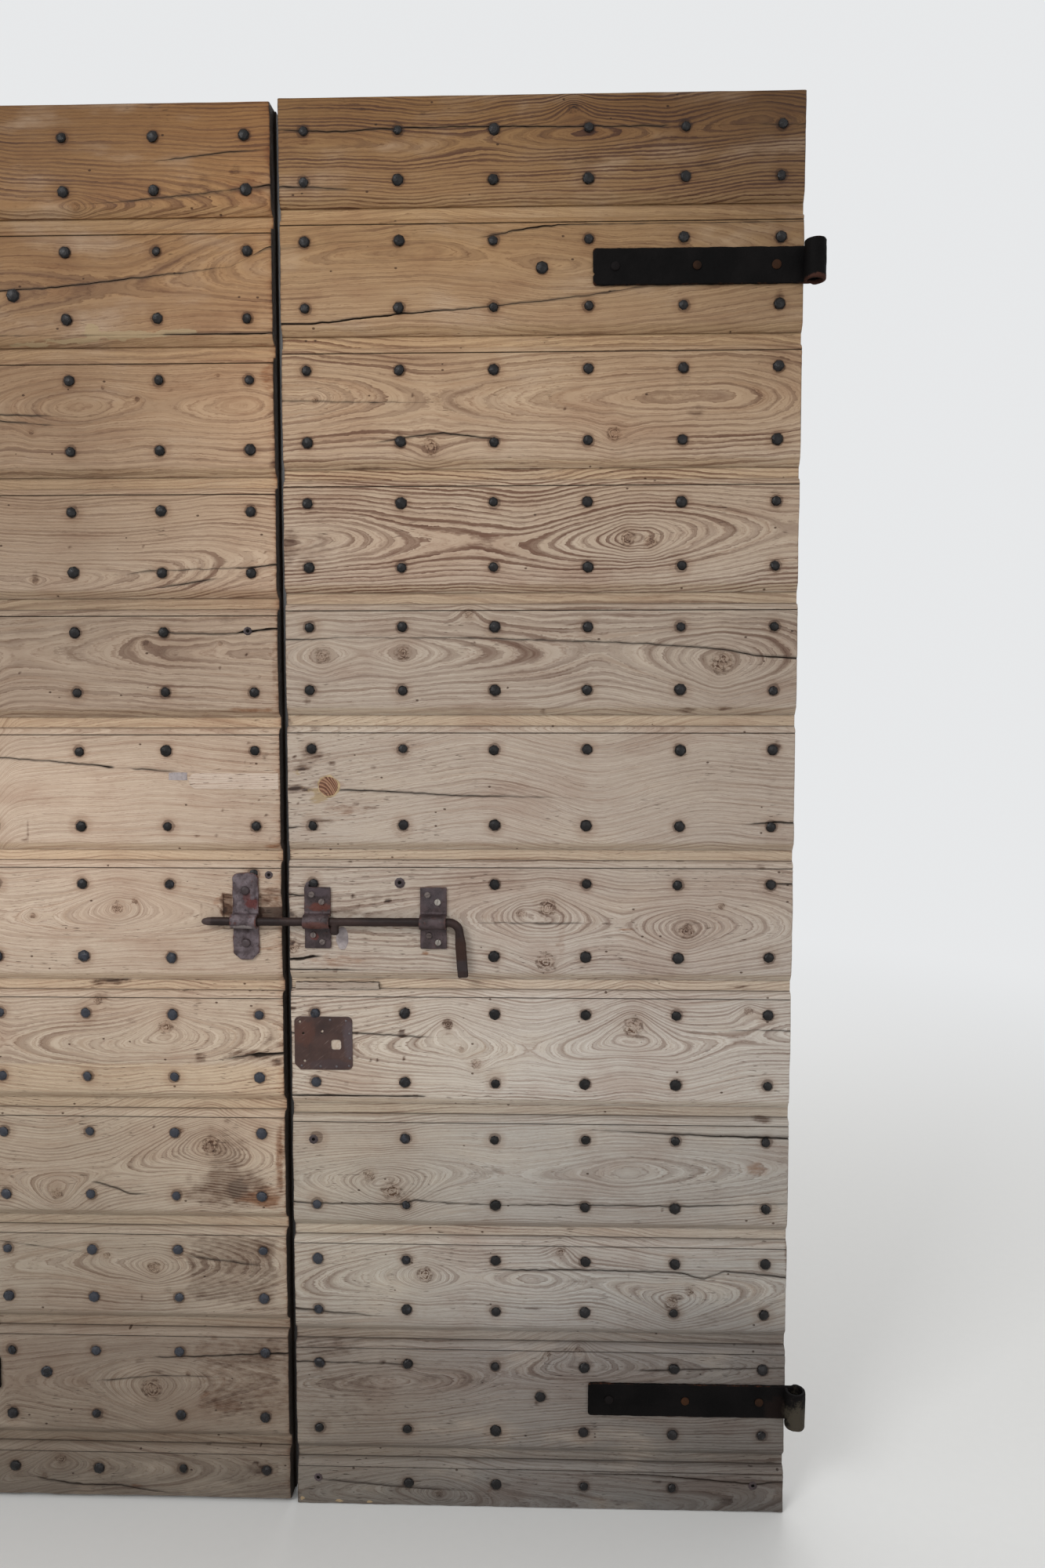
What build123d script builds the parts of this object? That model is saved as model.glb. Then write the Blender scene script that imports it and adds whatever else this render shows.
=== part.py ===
# A double-leaf barn door of profiled softwood boards on vertical back planks.
# Iron strap hinges with rolled eyes carry it, and a sliding bolt joins the two leaves.
# Millimetres. +Z is up, the front faces -Y, and x = 0 is the middle of the gap between the leaves.
from build123d import *
import math
import os

os.makedirs("parts", exist_ok=True)

# Leaves
leaf_width = 750.0
leaf_gap = 10.0
board_thickness = 27.0
plank_thickness = 22.0
planks_per_leaf = 3
plank_joint = 2.0
# Heights of board that show, from the top down, measured between the inner corners of the bands.
right_shows = [166.0, 180.0, 189.0, 179.0, 179.0, 200.0, 196.0, 193.0, 190.0, 166.0, 191.0, 71.0]
left_shows = [172.0, 182.0, 187.0, 176.0, 175.0, 199.0, 198.0, 184.0, 185.0, 162.0, 189.0, 81.0]
left_lift = 6.0

# Board profile: a sunk band under the lip of the board above, then a bead and a quirk
band_depth = 12.0
band_height = 17.0
lap_height = 12.0
lap_gap = 0.5
bead_radius = 9.0
quirk_width = 2.0
quirk_depth = 2.0
lip_bevel_height = 11.0
lip_bevel_depth = 8.0
lip_bevel_bulge = 0.9

# Face nails: six-sided forged heads in rows across the boards
nail_head_radius = 8.5
nail_head_height = 5.0
nail_head_sides = 6
nail_head_turn = 17.0
big_nail_radius = 10.0
nail_columns = 6
nail_from_meeting_edge = 37.0
right_nail_from_hinge_edge = 34.0
left_nail_from_hinge_edge = 53.0
nail_below_seam = 34.0
nail_above_seam = 53.0
nail_below_top = 47.0
nail_above_seam_top = 50.0
# Heads that are gone: board number, row and column, counted from the top and from the meeting edge
right_gone = [(7, "upper", 2), (7, "lower", 1), (7, "lower", 2), (12, "upper", 1), (12, "upper", 6)]
left_gone = [(5, "upper", 1), (7, "lower", 1)]
# The nail half under the staple, from the staple's upper inner corner
stapled_nail = (7, "upper", 1)
stapled_nail_in = 8.0
stapled_nail_down = 2.0

# Strap hinges
strap_width = 52.0
strap_length = 300.0
strap_thickness = 5.0
strap_corner = 4.0
strap_past_leaf = 11.5
eye_bore_radius = 10.5
eye_length = 56.0
eye_slit_angle = 60.0
# Which seam a strap is below, counted from the top edge as 0, and how far its middle is below that seam
strap_seam_indexes = {"upper": 1, "lower": 10}
right_strap_drop = {"upper": 74.0, "lower": 82.0}
left_strap_drop = {"upper": 94.0, "lower": 70.0}
first_rivet_in = 40.0
middle_rivet_in = 152.0
last_rivet_from_end = 32.0
strap_nail_past_end = 72.0

# Hinge rivets, peened over behind the planks
rivet_head_radius = 6.5
rivet_head_height = 3.0
rivet_head_sides = 10
rivet_shank = 8.0
rivet_taper = 30.0
rivet_turn = 15.0
peen_radius = 7.0
peen_height = 3.0

# Sliding bolt: its axis is below a seam of the right leaf, counted from the top edge as 0
rod_seam_index = 6
rod_below_seam = 90.0
rod_radius = 6.5
rod_stand_off = 11.5
rod_past_staple = 44.0
# Steps of the hammered nose, from the tip: distance along the rod and share of its radius
nose_steps = [(0.0, 0.34), (3.0, 0.7), (9.0, 0.93), (16.0, 1.0)]
rod_past_keeper = 3.5
bend_radius = 16.0
handle_lean = 4.5
handle_length = 68.0
handle_flare = 18.0
handle_half_width = 8.2
handle_half_thickness = 4.6
handle_end_chamfer = 1.5
lug_radius = 6.5
lug_drop = 19.5
lug_chamfer = 2.5
lug_gap = 0.4

# Keepers and staple, measured from the rod's axis and from the leaves' edges
keeper_thickness = 4.0
keeper_width = 40.0
keeper_clearance = 0.5
keeper_foot_radius = 2.5
keeper_below_rod = 42.0
keeper_above_rod = 51.0
inner_keeper_in = 24.0
keeper_spacing = 133.5
staple_in = 34.0
staple_below_rod = 60.0
staple_above_rod = 72.0
staple_corner = 11.0
staple_rivets_from_rod = [45.0, -34.0]
# Screw places in a keeper: from its left edge, and above the rod's axis
screw_places = [(11.5, 40.0), (26.5, 29.0), (13.5, -21.0), (27.0, -31.5)]
screw_head_radius = 4.8
screw_head_height = 2.2
screw_head_sides = 8
screw_shank = 4.0
screw_length = 24.0

# Old lock's cover plate
cover_seam_index = 7
cover_in = 6.0
cover_below_seam = 40.0
cover_width = 88.0
cover_height = 82.0
cover_thickness = 1.6
cover_corner = 8.0
cover_clip = 9.0
cover_hole_place = (63.1, 38.9)
cover_hole_size = 15.0
cover_hole_corner = 4.0
tack_radius = 2.0
tack_height = 1.0
tack_sides = 6
tack_taper = 20.0
# Places on the cover plate are measured from its lower left corner.
tack_places = [(54.5, 77.0), (78.5, 75.5), (83.5, 56.0), (84.0, 18.5), (82.5, 6.5), (63.6, 5.4),
               (39.3, 5.8), (10.7, 6.6)]
punched_places = [(8.5, 73.8), (13.6, 56.2), (15.3, 14.0)]
punched_radius = 1.9
punched_sides = 6
slot_place = (42.1, 58.5)
slot_length = 5.5
slot_width = 3.0
slot_turn = 70.0

# Repairs let into the boards
fit = 0.15
plug_seam_index = 5
plug_radius = 15.0
plug_in = 62.0
plug_below_seam = 89.0
patched_seam_index = 5
dutchman_in = 2.0
dutchman_below_seam = 66.0
dutchman_width = 136.0
dutchman_height = 25.0
dutchman_depth = 8.0
grey_patch_below_seam = 65.0
grey_patch_width = 29.6
grey_patch_height = 13.0
grey_patch_depth = 4.0
filler_seam_index = 6
filler_in = 80.0
filler_below_seam = 117.0
filler_half_width = 10.0
filler_half_height = 18.0
filler_depth = 5.0
band_strip_seam_index = 7
band_strip_in = 7.0
band_strip_width = 127.0
band_strip_height = 11.0
band_strip_thickness = 7.0
latch_recess_width = 89.0
latch_recess_below_rod = 14.0
latch_recess_height = 52.0
latch_recess_depth = 2.5
latch_recess_corner = 12.0

# A cutter starts this far outside the piece that it cuts.
overrun = 1.0

# The origin is under the middle of the whole, so the face lies where front and back reach are equal.
eye_outer_radius = eye_bore_radius + strap_thickness
front_reach = 2 * eye_outer_radius
back_reach = board_thickness + plank_thickness + peen_height
face_y = (front_reach - back_reach) / 2
back_y = face_y + board_thickness + plank_thickness
band_y = face_y + band_depth
inner_edge = leaf_gap / 2
outer_edge = inner_edge + leaf_width
right_top = sum(right_shows)
left_top = left_lift + sum(left_shows)
plank_width = leaf_width / planks_per_leaf


def seams(shows, top):
    """Heights of the inner corners of the bands, from the top edge down to the leaf's lower edge."""
    heights = [top]
    for shown in shows:
        heights.append(heights[-1] - shown)
    return heights


# A board's number is also the place of the seam below it in these lists.
right_seams = seams(right_shows, right_top)
left_seams = seams(left_shows, left_top)

rod_y = face_y - rod_stand_off
rod_z = right_seams[rod_seam_index] - rod_below_seam
keeper_low = rod_z - keeper_below_rod
keeper_high = rod_z + keeper_above_rod
keeper_seat = face_y - keeper_thickness
staple_low = rod_z - staple_below_rod
staple_high = rod_z + staple_above_rod
inner_keeper_x = inner_edge + inner_keeper_in
outer_keeper_x = inner_keeper_x + keeper_width + keeper_spacing
staple_x = -inner_edge - staple_in - keeper_width
rod_tip_x = staple_x - rod_past_staple
bend_start_x = outer_keeper_x + keeper_width + rod_past_keeper
cover_x = inner_edge + cover_in
cover_high = right_seams[cover_seam_index] - cover_below_seam
cover_low = cover_high - cover_height
right_strap_z = {place: right_seams[index] - right_strap_drop[place] for place, index in strap_seam_indexes.items()}
left_strap_z = {place: left_seams[index] - left_strap_drop[place] for place, index in strap_seam_indexes.items()}


def block(x0, x1, y0, y1, z0, z1):
    size = (x1 - x0, y1 - y0, z1 - z0)
    return Pos((x0 + x1) / 2, (y0 + y1) / 2, (z0 + z1) / 2) * Box(*size)


def board(x0, top, low, is_top, is_bottom):
    """One profiled board: its section, drawn as (y, z), runs along x for the width of the leaf."""
    back = face_y + board_thickness
    with BuildPart() as made:
        with BuildSketch(Plane.YZ.offset(x0)):
            with BuildLine():
                if is_bottom:
                    face_low = (face_y, low)
                    back_low = (back, low)
                    Line(back_low, face_low)
                else:
                    lip = low + band_height
                    shoulder = lip + lap_height + lap_gap
                    nose = (face_y + lip_bevel_depth, lip)
                    face_low = (face_y, lip + lip_bevel_height)
                    worn_y = (nose[0] + face_low[0]) / 2 - lip_bevel_bulge
                    worn_z = (nose[1] + face_low[1]) / 2 - lip_bevel_bulge
                    back_low = (back, shoulder)
                    Polyline(back_low, (band_y, shoulder), (band_y, lip), nose, (worn_y, worn_z), face_low)
                if is_top:
                    Polyline(face_low, (face_y, top), (back, top), back_low)
                else:
                    quirk_top = top - bead_radius
                    quirk_floor = (face_y + quirk_depth, quirk_top - quirk_width / 2)
                    Polyline(face_low, (face_y, quirk_top - quirk_width), quirk_floor, (face_y, quirk_top))
                    bead_mid = bead_radius * (1 - math.sqrt(0.5))
                    bead_end = (face_y + bead_radius, top)
                    ThreePointArc((face_y, quirk_top), (face_y + bead_mid, top - bead_mid), bead_end)
                    tongue = top + band_height + lap_height
                    Polyline(bead_end, (band_y, top), (band_y, tongue), (back, tongue), back_low)
            make_face()
        extrude(amount=leaf_width)
    return made.part


def boards(x0, heights):
    made = []
    for i in range(1, len(heights)):
        made.append(board(x0, heights[i - 1], heights[i], i == 1, i == len(heights) - 1))
    return made


def planks(x0, low, high):
    made = []
    for i in range(planks_per_leaf):
        left = x0 + i * plank_width + (plank_joint / 2 if i else 0)
        right = x0 + (i + 1) * plank_width - (plank_joint / 2 if i < planks_per_leaf - 1 else 0)
        made.append(block(left, right, face_y + board_thickness, back_y, low, high))
    return made


def tapered_head(x, z, seat_y, radius, height, sides, turn, taper):
    """A forged head: a many-sided base on the seat that narrows towards the front."""
    seat = Plane(origin=(x, seat_y, z), x_dir=(1, 0, 0), z_dir=(0, -1, 0))
    base = seat * Rot(0, 0, turn) * RegularPolygon(radius, sides)
    if not taper:
        return extrude(base, amount=height)
    tip = Vertex(x, seat_y - radius / math.tan(math.radians(taper)), z)
    slab = block(x - 2 * radius, x + 2 * radius, seat_y - height, seat_y + overrun, z - 2 * radius, z + 2 * radius)
    return loft([base.face(), tip]) & slab


def pointed_head(radius):
    """A rose head: flat facets that rise from a many-sided edge to a point."""
    base = Plane(origin=(0, 0, 0), x_dir=(1, 0, 0), z_dir=(0, -1, 0)) * RegularPolygon(radius, nail_head_sides)
    return loft([base.face(), Vertex(0, -nail_head_height, 0)])


def fastener(x, z, seat_y, radius, height, sides, shank, length):
    """A head on its seat with a square shank that runs back from it."""
    head = tapered_head(x, z, seat_y, radius, height, sides, rivet_turn, rivet_taper)
    half = shank / 2
    return head + block(x - half, x + half, seat_y, seat_y + length, z - half, z + half)


def through_rivet(x, z):
    """A strap rivet, peened over at the back of the planks."""
    seat_y = face_y - strap_thickness
    front = fastener(x, z, seat_y, rivet_head_radius, rivet_head_height, rivet_head_sides,
                     rivet_shank, back_y - seat_y)
    peen = tapered_head(x, z, back_y + peen_height, peen_radius, peen_height, rivet_head_sides, 0, 0)
    return front + peen


def shank_hole(x, z, y0, y1, shank):
    half = shank / 2 + fit
    return block(x - half, x + half, y0, y1, z - half, z + half)


def nail_rows(heights):
    """Nail rows as (board number, row name, height)."""
    found = []
    last = len(heights) - 1
    for number in range(1, last + 1):
        below = nail_below_top if number == 1 else nail_below_seam
        found.append((number, "upper", heights[number - 1] - below))
        if number < last:
            above = nail_above_seam_top if number == 1 else nail_above_seam
            found.append((number, "lower", heights[number] + above))
    return found


def nail_places(side, heights, from_hinge_edge, gone):
    """Places of the heads that are left, as (x, z)."""
    pitch = (leaf_width - nail_from_meeting_edge - from_hinge_edge) / (nail_columns - 1)
    places = []
    for number, row, z in nail_rows(heights):
        for column in range(1, nail_columns + 1):
            nail = (number, row, column)
            if side < 0 and nail == stapled_nail:
                places.append((staple_x + keeper_width - stapled_nail_in, staple_high - stapled_nail_down))
            elif nail not in gone:
                places.append((side * (inner_edge + nail_from_meeting_edge + (column - 1) * pitch), z))
    return places


def iron_outlines():
    """Outlines of the irons that can cover part of a nail head, as (x0, x1, low, high)."""
    found = [(staple_x, staple_x + keeper_width, staple_low, staple_high),
             (cover_x, cover_x + cover_width, cover_low, cover_high)]
    for x0 in (inner_keeper_x, outer_keeper_x):
        found.append((x0, x0 + keeper_width, keeper_low, keeper_high))
    inner_end = outer_edge - strap_length
    for z in right_strap_z.values():
        found.append((inner_end, outer_edge, z - strap_width / 2, z + strap_width / 2))
    for z in left_strap_z.values():
        found.append((-outer_edge, -inner_end, z - strap_width / 2, z + strap_width / 2))
    return found


def nail_heads(places, strap_nails):
    """Face nails: each head is cut back where an iron lies over it."""
    small = pointed_head(nail_head_radius)
    big = pointed_head(big_nail_radius)
    irons = iron_outlines()
    heads = []
    for index, (x, z) in enumerate(places):
        head = Pos(x, face_y, z) * Rot(0, index * nail_head_turn, 0) * small
        for x0, x1, low, high in irons:
            across = x0 - nail_head_radius < x < x1 + nail_head_radius
            if across and low - nail_head_radius < z < high + nail_head_radius:
                front = face_y - nail_head_height - overrun
                head -= block(x0 - fit, x1 + fit, front, face_y + overrun, low - fit, high + fit)
        heads.extend(head.solids())
    for x, z in strap_nails:
        heads.append(Pos(x, face_y, z) * big)
    return heads


def rivet_insets():
    """Distances of a strap's rivets from the leaf's hinge edge."""
    return [first_rivet_in, middle_rivet_in, strap_length - last_rivet_from_end]


def strap(z):
    """A strap hinge of the right leaf, rolled forward into an eye past the leaf's edge."""
    x1 = outer_edge + strap_past_leaf
    x0 = outer_edge - strap_length
    flat = block(x0, x1, face_y - strap_thickness, face_y, z - strap_width / 2, z + strap_width / 2)
    ends = flat.edges().filter_by(Axis.Y).group_by(Axis.X)[0]
    flat = fillet(ends, strap_corner)
    centre_y = face_y - eye_outer_radius
    ring = Circle(eye_outer_radius) - Circle(eye_bore_radius)
    reach = 2 * eye_outer_radius
    slit = math.radians(90 + eye_slit_angle)
    far = (reach * math.cos(slit), reach * math.sin(slit))
    ring -= make_face(Polyline((0, 0), (0, reach), far, close=True))
    eye = extrude(Pos(x1, centre_y, z - eye_length / 2) * ring, amount=eye_length)
    made = flat + eye
    for inset in rivet_insets():
        front = face_y - strap_thickness - overrun
        made -= shank_hole(outer_edge - inset, z, front, face_y + overrun, rivet_shank)
    return made


def keeper(x0, low, high):
    """A plate bent over the rod, with a foot above and below it."""
    inner = rod_radius + keeper_clearance
    outer = inner + keeper_thickness
    with BuildPart() as made:
        with BuildSketch(Plane.YZ.offset(x0)):
            with Locations((face_y - keeper_thickness / 2, (low + high) / 2)):
                Rectangle(keeper_thickness, high - low)
            with Locations((face_y - rod_stand_off / 2, rod_z)):
                Rectangle(rod_stand_off, 2 * outer)
            with Locations((rod_y, rod_z)):
                Circle(outer)
            with Locations((face_y - rod_stand_off / 2, rod_z)):
                Rectangle(rod_stand_off, 2 * inner, mode=Mode.SUBTRACT)
            with Locations((rod_y, rod_z)):
                Circle(inner, mode=Mode.SUBTRACT)
            # Nothing of the loop reaches behind the face.
            with Locations((face_y + outer, rod_z)):
                Rectangle(2 * outer, 4 * outer, mode=Mode.SUBTRACT)
        extrude(amount=keeper_width)
        feet = [e for e in made.edges().filter_by(Axis.X)
                if math.isclose(e.center().Y, keeper_seat, abs_tol=0.01)
                and math.isclose(abs(e.center().Z - rod_z), outer, abs_tol=0.01)]
        fillet(feet, keeper_foot_radius)
    return made.part


def corners_at(made, z):
    """The edges through the thickness of a plate at its upper or lower end."""
    return [e for e in made.edges().filter_by(Axis.Y) if math.isclose(e.center().Z, z, abs_tol=0.01)]


def staple():
    """The left leaf's keeper: rounded above, clipped below, held by two rivets."""
    made = keeper(staple_x, staple_low, staple_high)
    made = fillet(corners_at(made, staple_high), staple_corner)
    made = chamfer(corners_at(made, staple_low), staple_corner)
    for from_rod in staple_rivets_from_rod:
        hole = shank_hole(staple_x + keeper_width / 2, rod_z + from_rod, keeper_seat - overrun,
                          face_y + overrun, screw_shank)
        made -= hole
    return made


def handle():
    """The rod's end beaten flat: over the flare it widens and thins across local x, then runs on even."""
    stand = (Align.CENTER, Align.CENTER, Align.MIN)
    round_part = Cone(rod_radius, handle_half_width, handle_flare, align=stand)
    round_part += Pos(0, 0, handle_flare) * Cylinder(handle_half_width, handle_length - handle_flare, align=stand)
    half = handle_half_thickness
    side = make_face(Polyline((-rod_radius, 0), (rod_radius, 0), (half, handle_flare), (half, handle_length),
                              (-half, handle_length), (-half, handle_flare), close=True))
    flats = extrude(Plane.XZ.offset(-handle_half_width) * side, amount=2 * handle_half_width)
    made = round_part & flats
    return chamfer(made.faces().sort_by(Axis.Z)[-1].edges(), handle_end_chamfer)


def bolt():
    """The round rod with its nose, stop lug and bent, flattened handle: one forging."""
    outline = [(rod_tip_x, rod_z)]
    for along, share in nose_steps:
        outline.append((rod_tip_x + along, rod_z + share * rod_radius))
    outline.append((bend_start_x, rod_z + rod_radius))
    outline.append((bend_start_x, rod_z))
    lean = math.radians(handle_lean)
    lug_x = inner_keeper_x + keeper_width + lug_gap + lug_radius
    with BuildPart() as made:
        with BuildSketch(Plane.XZ.offset(-rod_y)):
            with BuildLine():
                Polyline(*outline, close=True)
            make_face()
        revolve(axis=Axis((0, rod_y, rod_z), (1, 0, 0)))
        with BuildSketch(Plane(origin=(bend_start_x, rod_y, rod_z), x_dir=(0, 1, 0), z_dir=(1, 0, 0))):
            Circle(rod_radius)
        pivot = (bend_start_x, rod_y, rod_z - bend_radius)
        revolve(axis=Axis(pivot, (0, 1, 0)), revolution_arc=90 - handle_lean)
        with BuildSketch(Plane.XY.offset(rod_z - lug_drop)):
            with Locations((lug_x, rod_y)):
                Circle(lug_radius)
        extrude(amount=lug_drop)
        end = made.edges().filter_by(GeomType.CIRCLE).sort_by(Axis.Z)[0]
        chamfer(end, lug_chamfer)
    start = (bend_start_x + bend_radius * math.cos(lean), rod_y, pivot[2] + bend_radius * math.sin(lean))
    down = Plane(origin=start, x_dir=(0, 1, 0), z_dir=(math.sin(lean), 0, -math.cos(lean)))
    return made.part + down * handle()


def cover_plate():
    made = block(cover_x, cover_x + cover_width, face_y - cover_thickness, face_y, cover_low, cover_high)
    left_low, right_low = sorted(corners_at(made, cover_low), key=lambda e: e.center().X)
    made = chamfer(left_low, cover_clip)
    right_low = max(corners_at(made, cover_low), key=lambda e: e.center().X)
    made = fillet(corners_at(made, cover_high) + [right_low], cover_corner)
    holes = Pos(*cover_hole_place) * RectangleRounded(cover_hole_size, cover_hole_size, cover_hole_corner)
    holes += Pos(*slot_place) * Rot(0, 0, slot_turn) * Rectangle(slot_length, slot_width)
    for place in punched_places:
        holes += Pos(*place) * RegularPolygon(punched_radius, punched_sides)
    corner = Plane(origin=(cover_x, face_y + overrun, cover_low), x_dir=(1, 0, 0), z_dir=(0, -1, 0))
    return made - extrude(corner * holes, amount=cover_thickness + 2 * overrun)


def cover_tacks():
    """Small tacks round the cover plate's edge, seated on it."""
    made = []
    for across, up in tack_places:
        made.append(tapered_head(cover_x + across, cover_low + up, face_y - cover_thickness,
                                 tack_radius, tack_height, tack_sides, 0, tack_taper))
    return made


def pocket(outline, x, z, depth):
    """A prism that reaches from just in front of the face to a depth behind it."""
    plane = Plane(origin=(x, face_y - overrun, z), x_dir=(-1, 0, 0), z_dir=(0, 1, 0))
    return extrude(plane * outline, amount=depth + overrun)


def inlay(outline, x, z, depth):
    plane = Plane(origin=(x, face_y, z), x_dir=(-1, 0, 0), z_dir=(0, 1, 0))
    return extrude(plane * outline, amount=depth - fit)


def drill(pieces, cutter):
    """Cuts a hole out of whichever board or plank it passes through."""
    box = cutter.bounding_box()
    for i, piece in enumerate(pieces):
        own = piece.bounding_box()
        beside = own.min.X > box.max.X or own.max.X < box.min.X
        above_or_below = own.min.Z > box.max.Z or own.max.Z < box.min.Z
        if not beside and not above_or_below:
            pieces[i] = piece - cutter


def write(node, made):
    solids = made if isinstance(made, list) else [made]
    export_step(Compound(children=solids) if len(solids) > 1 else solids[0], f"parts/{node}.step")


right_boards = boards(inner_edge, right_seams)
left_boards = boards(-outer_edge, left_seams)
right_planks = planks(inner_edge, 0, right_top)
left_planks = planks(-outer_edge, left_lift, left_top)

# Straps with their rivets and the single nail in line with each
straps = {}
right_rivets = []
left_rivets = []
for place in strap_seam_indexes:
    right_z = right_strap_z[place]
    left_z = left_strap_z[place]
    straps[f"right_{place}_strap_hinge"] = strap(right_z)
    straps[f"left_{place}_strap_hinge"] = mirror(strap(left_z), about=Plane.YZ)
    for inset in rivet_insets():
        x = outer_edge - inset
        right_rivets.append(through_rivet(x, right_z))
        left_rivets.append(through_rivet(-x, left_z))
        for pieces in (right_boards, right_planks):
            drill(pieces, shank_hole(x, right_z, face_y - overrun, back_y + overrun, rivet_shank))
        for pieces in (left_boards, left_planks):
            drill(pieces, shank_hole(-x, left_z, face_y - overrun, back_y + overrun, rivet_shank))
strap_nail_x = outer_edge - strap_length - strap_nail_past_end
right_nails = nail_heads(nail_places(1, right_seams, right_nail_from_hinge_edge, right_gone),
                         [(strap_nail_x, z) for z in right_strap_z.values()])
left_nails = nail_heads(nail_places(-1, left_seams, left_nail_from_hinge_edge, left_gone),
                        [(-strap_nail_x, z) for z in left_strap_z.values()])

# Bolt furniture and its fasteners
keepers = {}
screws = {}
screw_hole_end = keeper_seat + screw_length + fit
for name, x0 in (("inner_keeper", inner_keeper_x), ("outer_keeper", outer_keeper_x)):
    made = keeper(x0, keeper_low, keeper_high)
    screws[name] = []
    for from_left, from_rod in screw_places:
        x = x0 + from_left
        z = rod_z + from_rod
        made -= shank_hole(x, z, keeper_seat - overrun, face_y + overrun, screw_shank)
        screws[name].append(fastener(x, z, keeper_seat, screw_head_radius, screw_head_height,
                                     screw_head_sides, screw_shank, screw_length))
        drill(right_boards, shank_hole(x, z, face_y - overrun, screw_hole_end, screw_shank))
    keepers[name] = made
staple_rivets = []
for from_rod in staple_rivets_from_rod:
    x = staple_x + keeper_width / 2
    z = rod_z + from_rod
    staple_rivets.append(fastener(x, z, keeper_seat, rivet_head_radius, rivet_head_height,
                                  rivet_head_sides, screw_shank, screw_length))
    drill(left_boards, shank_hole(x, z, face_y - overrun, screw_hole_end, screw_shank))

# Repairs and the worn recess of an older latch
plug_x = inner_edge + plug_in
plug_z = right_seams[plug_seam_index] - plug_below_seam
drill(right_boards, pocket(Circle(plug_radius), plug_x, plug_z, board_thickness))
round_plug = inlay(Circle(plug_radius - fit), plug_x, plug_z, board_thickness)
filler_x = inner_edge + filler_in
filler_z = right_seams[filler_seam_index] - filler_below_seam
drill(right_boards, pocket(Ellipse(filler_half_width, filler_half_height), filler_x, filler_z, filler_depth))
oval_filler = inlay(Ellipse(filler_half_width - fit, filler_half_height - fit), filler_x, filler_z, filler_depth)
dutchman_x = -inner_edge - dutchman_in - dutchman_width / 2
grey_patch_x = dutchman_x - dutchman_width / 2 - grey_patch_width / 2
patched_seam = left_seams[patched_seam_index]
let_in = {}
for name, x, below, width, height, depth in (
        ("dutchman_patch", dutchman_x, dutchman_below_seam, dutchman_width, dutchman_height, dutchman_depth),
        ("grey_patch", grey_patch_x, grey_patch_below_seam, grey_patch_width, grey_patch_height,
         grey_patch_depth)):
    z = patched_seam - below - height / 2
    drill(left_boards, pocket(Rectangle(width, height), x, z, depth))
    let_in[name] = inlay(Rectangle(width - 2 * fit, height - 2 * fit), x, z, depth)
recess_x = -inner_edge
recess_z = rod_z - latch_recess_below_rod + latch_recess_height / 2
recess_outline = RectangleRounded(2 * latch_recess_width, latch_recess_height, latch_recess_corner)
drill(left_boards, pocket(recess_outline, recess_x, recess_z, latch_recess_depth))
strip_x = inner_edge + band_strip_in
strip_z = right_seams[band_strip_seam_index]
band_strip = block(strip_x, strip_x + band_strip_width, band_y - band_strip_thickness, band_y,
                   strip_z, strip_z + band_strip_height)

for number, made in enumerate(right_boards, 1):
    write(f"right_board_{number:02d}", made)
for number, made in enumerate(left_boards, 1):
    write(f"left_board_{number:02d}", made)
for number in range(planks_per_leaf):
    write(f"right_back_plank_{number + 1}", right_planks[number])
    write(f"left_back_plank_{planks_per_leaf - number}", left_planks[number])
write("right_face_nails", right_nails)
write("left_face_nails", left_nails)
for node, made in straps.items():
    write(node, made)
write("right_hinge_rivets", right_rivets)
write("left_hinge_rivets", left_rivets)
write("bolt_rod", bolt())
write("bolt_staple", staple())
write("staple_rivets", staple_rivets)
for name, made in keepers.items():
    write(name, made)
    write(f"{name}_screws", screws[name])
write("lock_cover_plate", cover_plate())
write("cover_plate_tacks", cover_tacks())
write("round_plug", round_plug)
write("oval_filler", oval_filler)
for node, made in let_in.items():
    write(node, made)
write("band_strip", band_strip)
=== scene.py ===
import math
import bmesh
import bpy
import numpy as np
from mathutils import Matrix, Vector


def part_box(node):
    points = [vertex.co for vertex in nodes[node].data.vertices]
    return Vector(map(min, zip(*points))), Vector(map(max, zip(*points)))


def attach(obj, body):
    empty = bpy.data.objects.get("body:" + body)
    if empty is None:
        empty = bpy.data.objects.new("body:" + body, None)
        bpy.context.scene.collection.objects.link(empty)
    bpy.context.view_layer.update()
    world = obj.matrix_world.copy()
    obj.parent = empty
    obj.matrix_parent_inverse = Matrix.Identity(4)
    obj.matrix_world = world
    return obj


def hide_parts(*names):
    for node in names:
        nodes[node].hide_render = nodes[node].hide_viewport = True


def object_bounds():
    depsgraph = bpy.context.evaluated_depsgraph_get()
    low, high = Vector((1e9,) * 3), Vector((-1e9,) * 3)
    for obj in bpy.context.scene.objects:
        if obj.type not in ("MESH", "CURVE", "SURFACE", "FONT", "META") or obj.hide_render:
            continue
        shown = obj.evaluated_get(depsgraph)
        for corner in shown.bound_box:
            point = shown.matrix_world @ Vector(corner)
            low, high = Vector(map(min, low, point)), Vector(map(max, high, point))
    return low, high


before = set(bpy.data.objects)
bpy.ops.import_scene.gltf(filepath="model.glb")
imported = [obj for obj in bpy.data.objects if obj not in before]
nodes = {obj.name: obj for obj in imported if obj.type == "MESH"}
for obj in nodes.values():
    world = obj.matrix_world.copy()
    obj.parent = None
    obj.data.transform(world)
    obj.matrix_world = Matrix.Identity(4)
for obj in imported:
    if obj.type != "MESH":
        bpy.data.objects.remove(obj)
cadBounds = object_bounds()
scene = bpy.context.scene
scene.view_settings.view_transform = "Standard"
mm = 0.001

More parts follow.
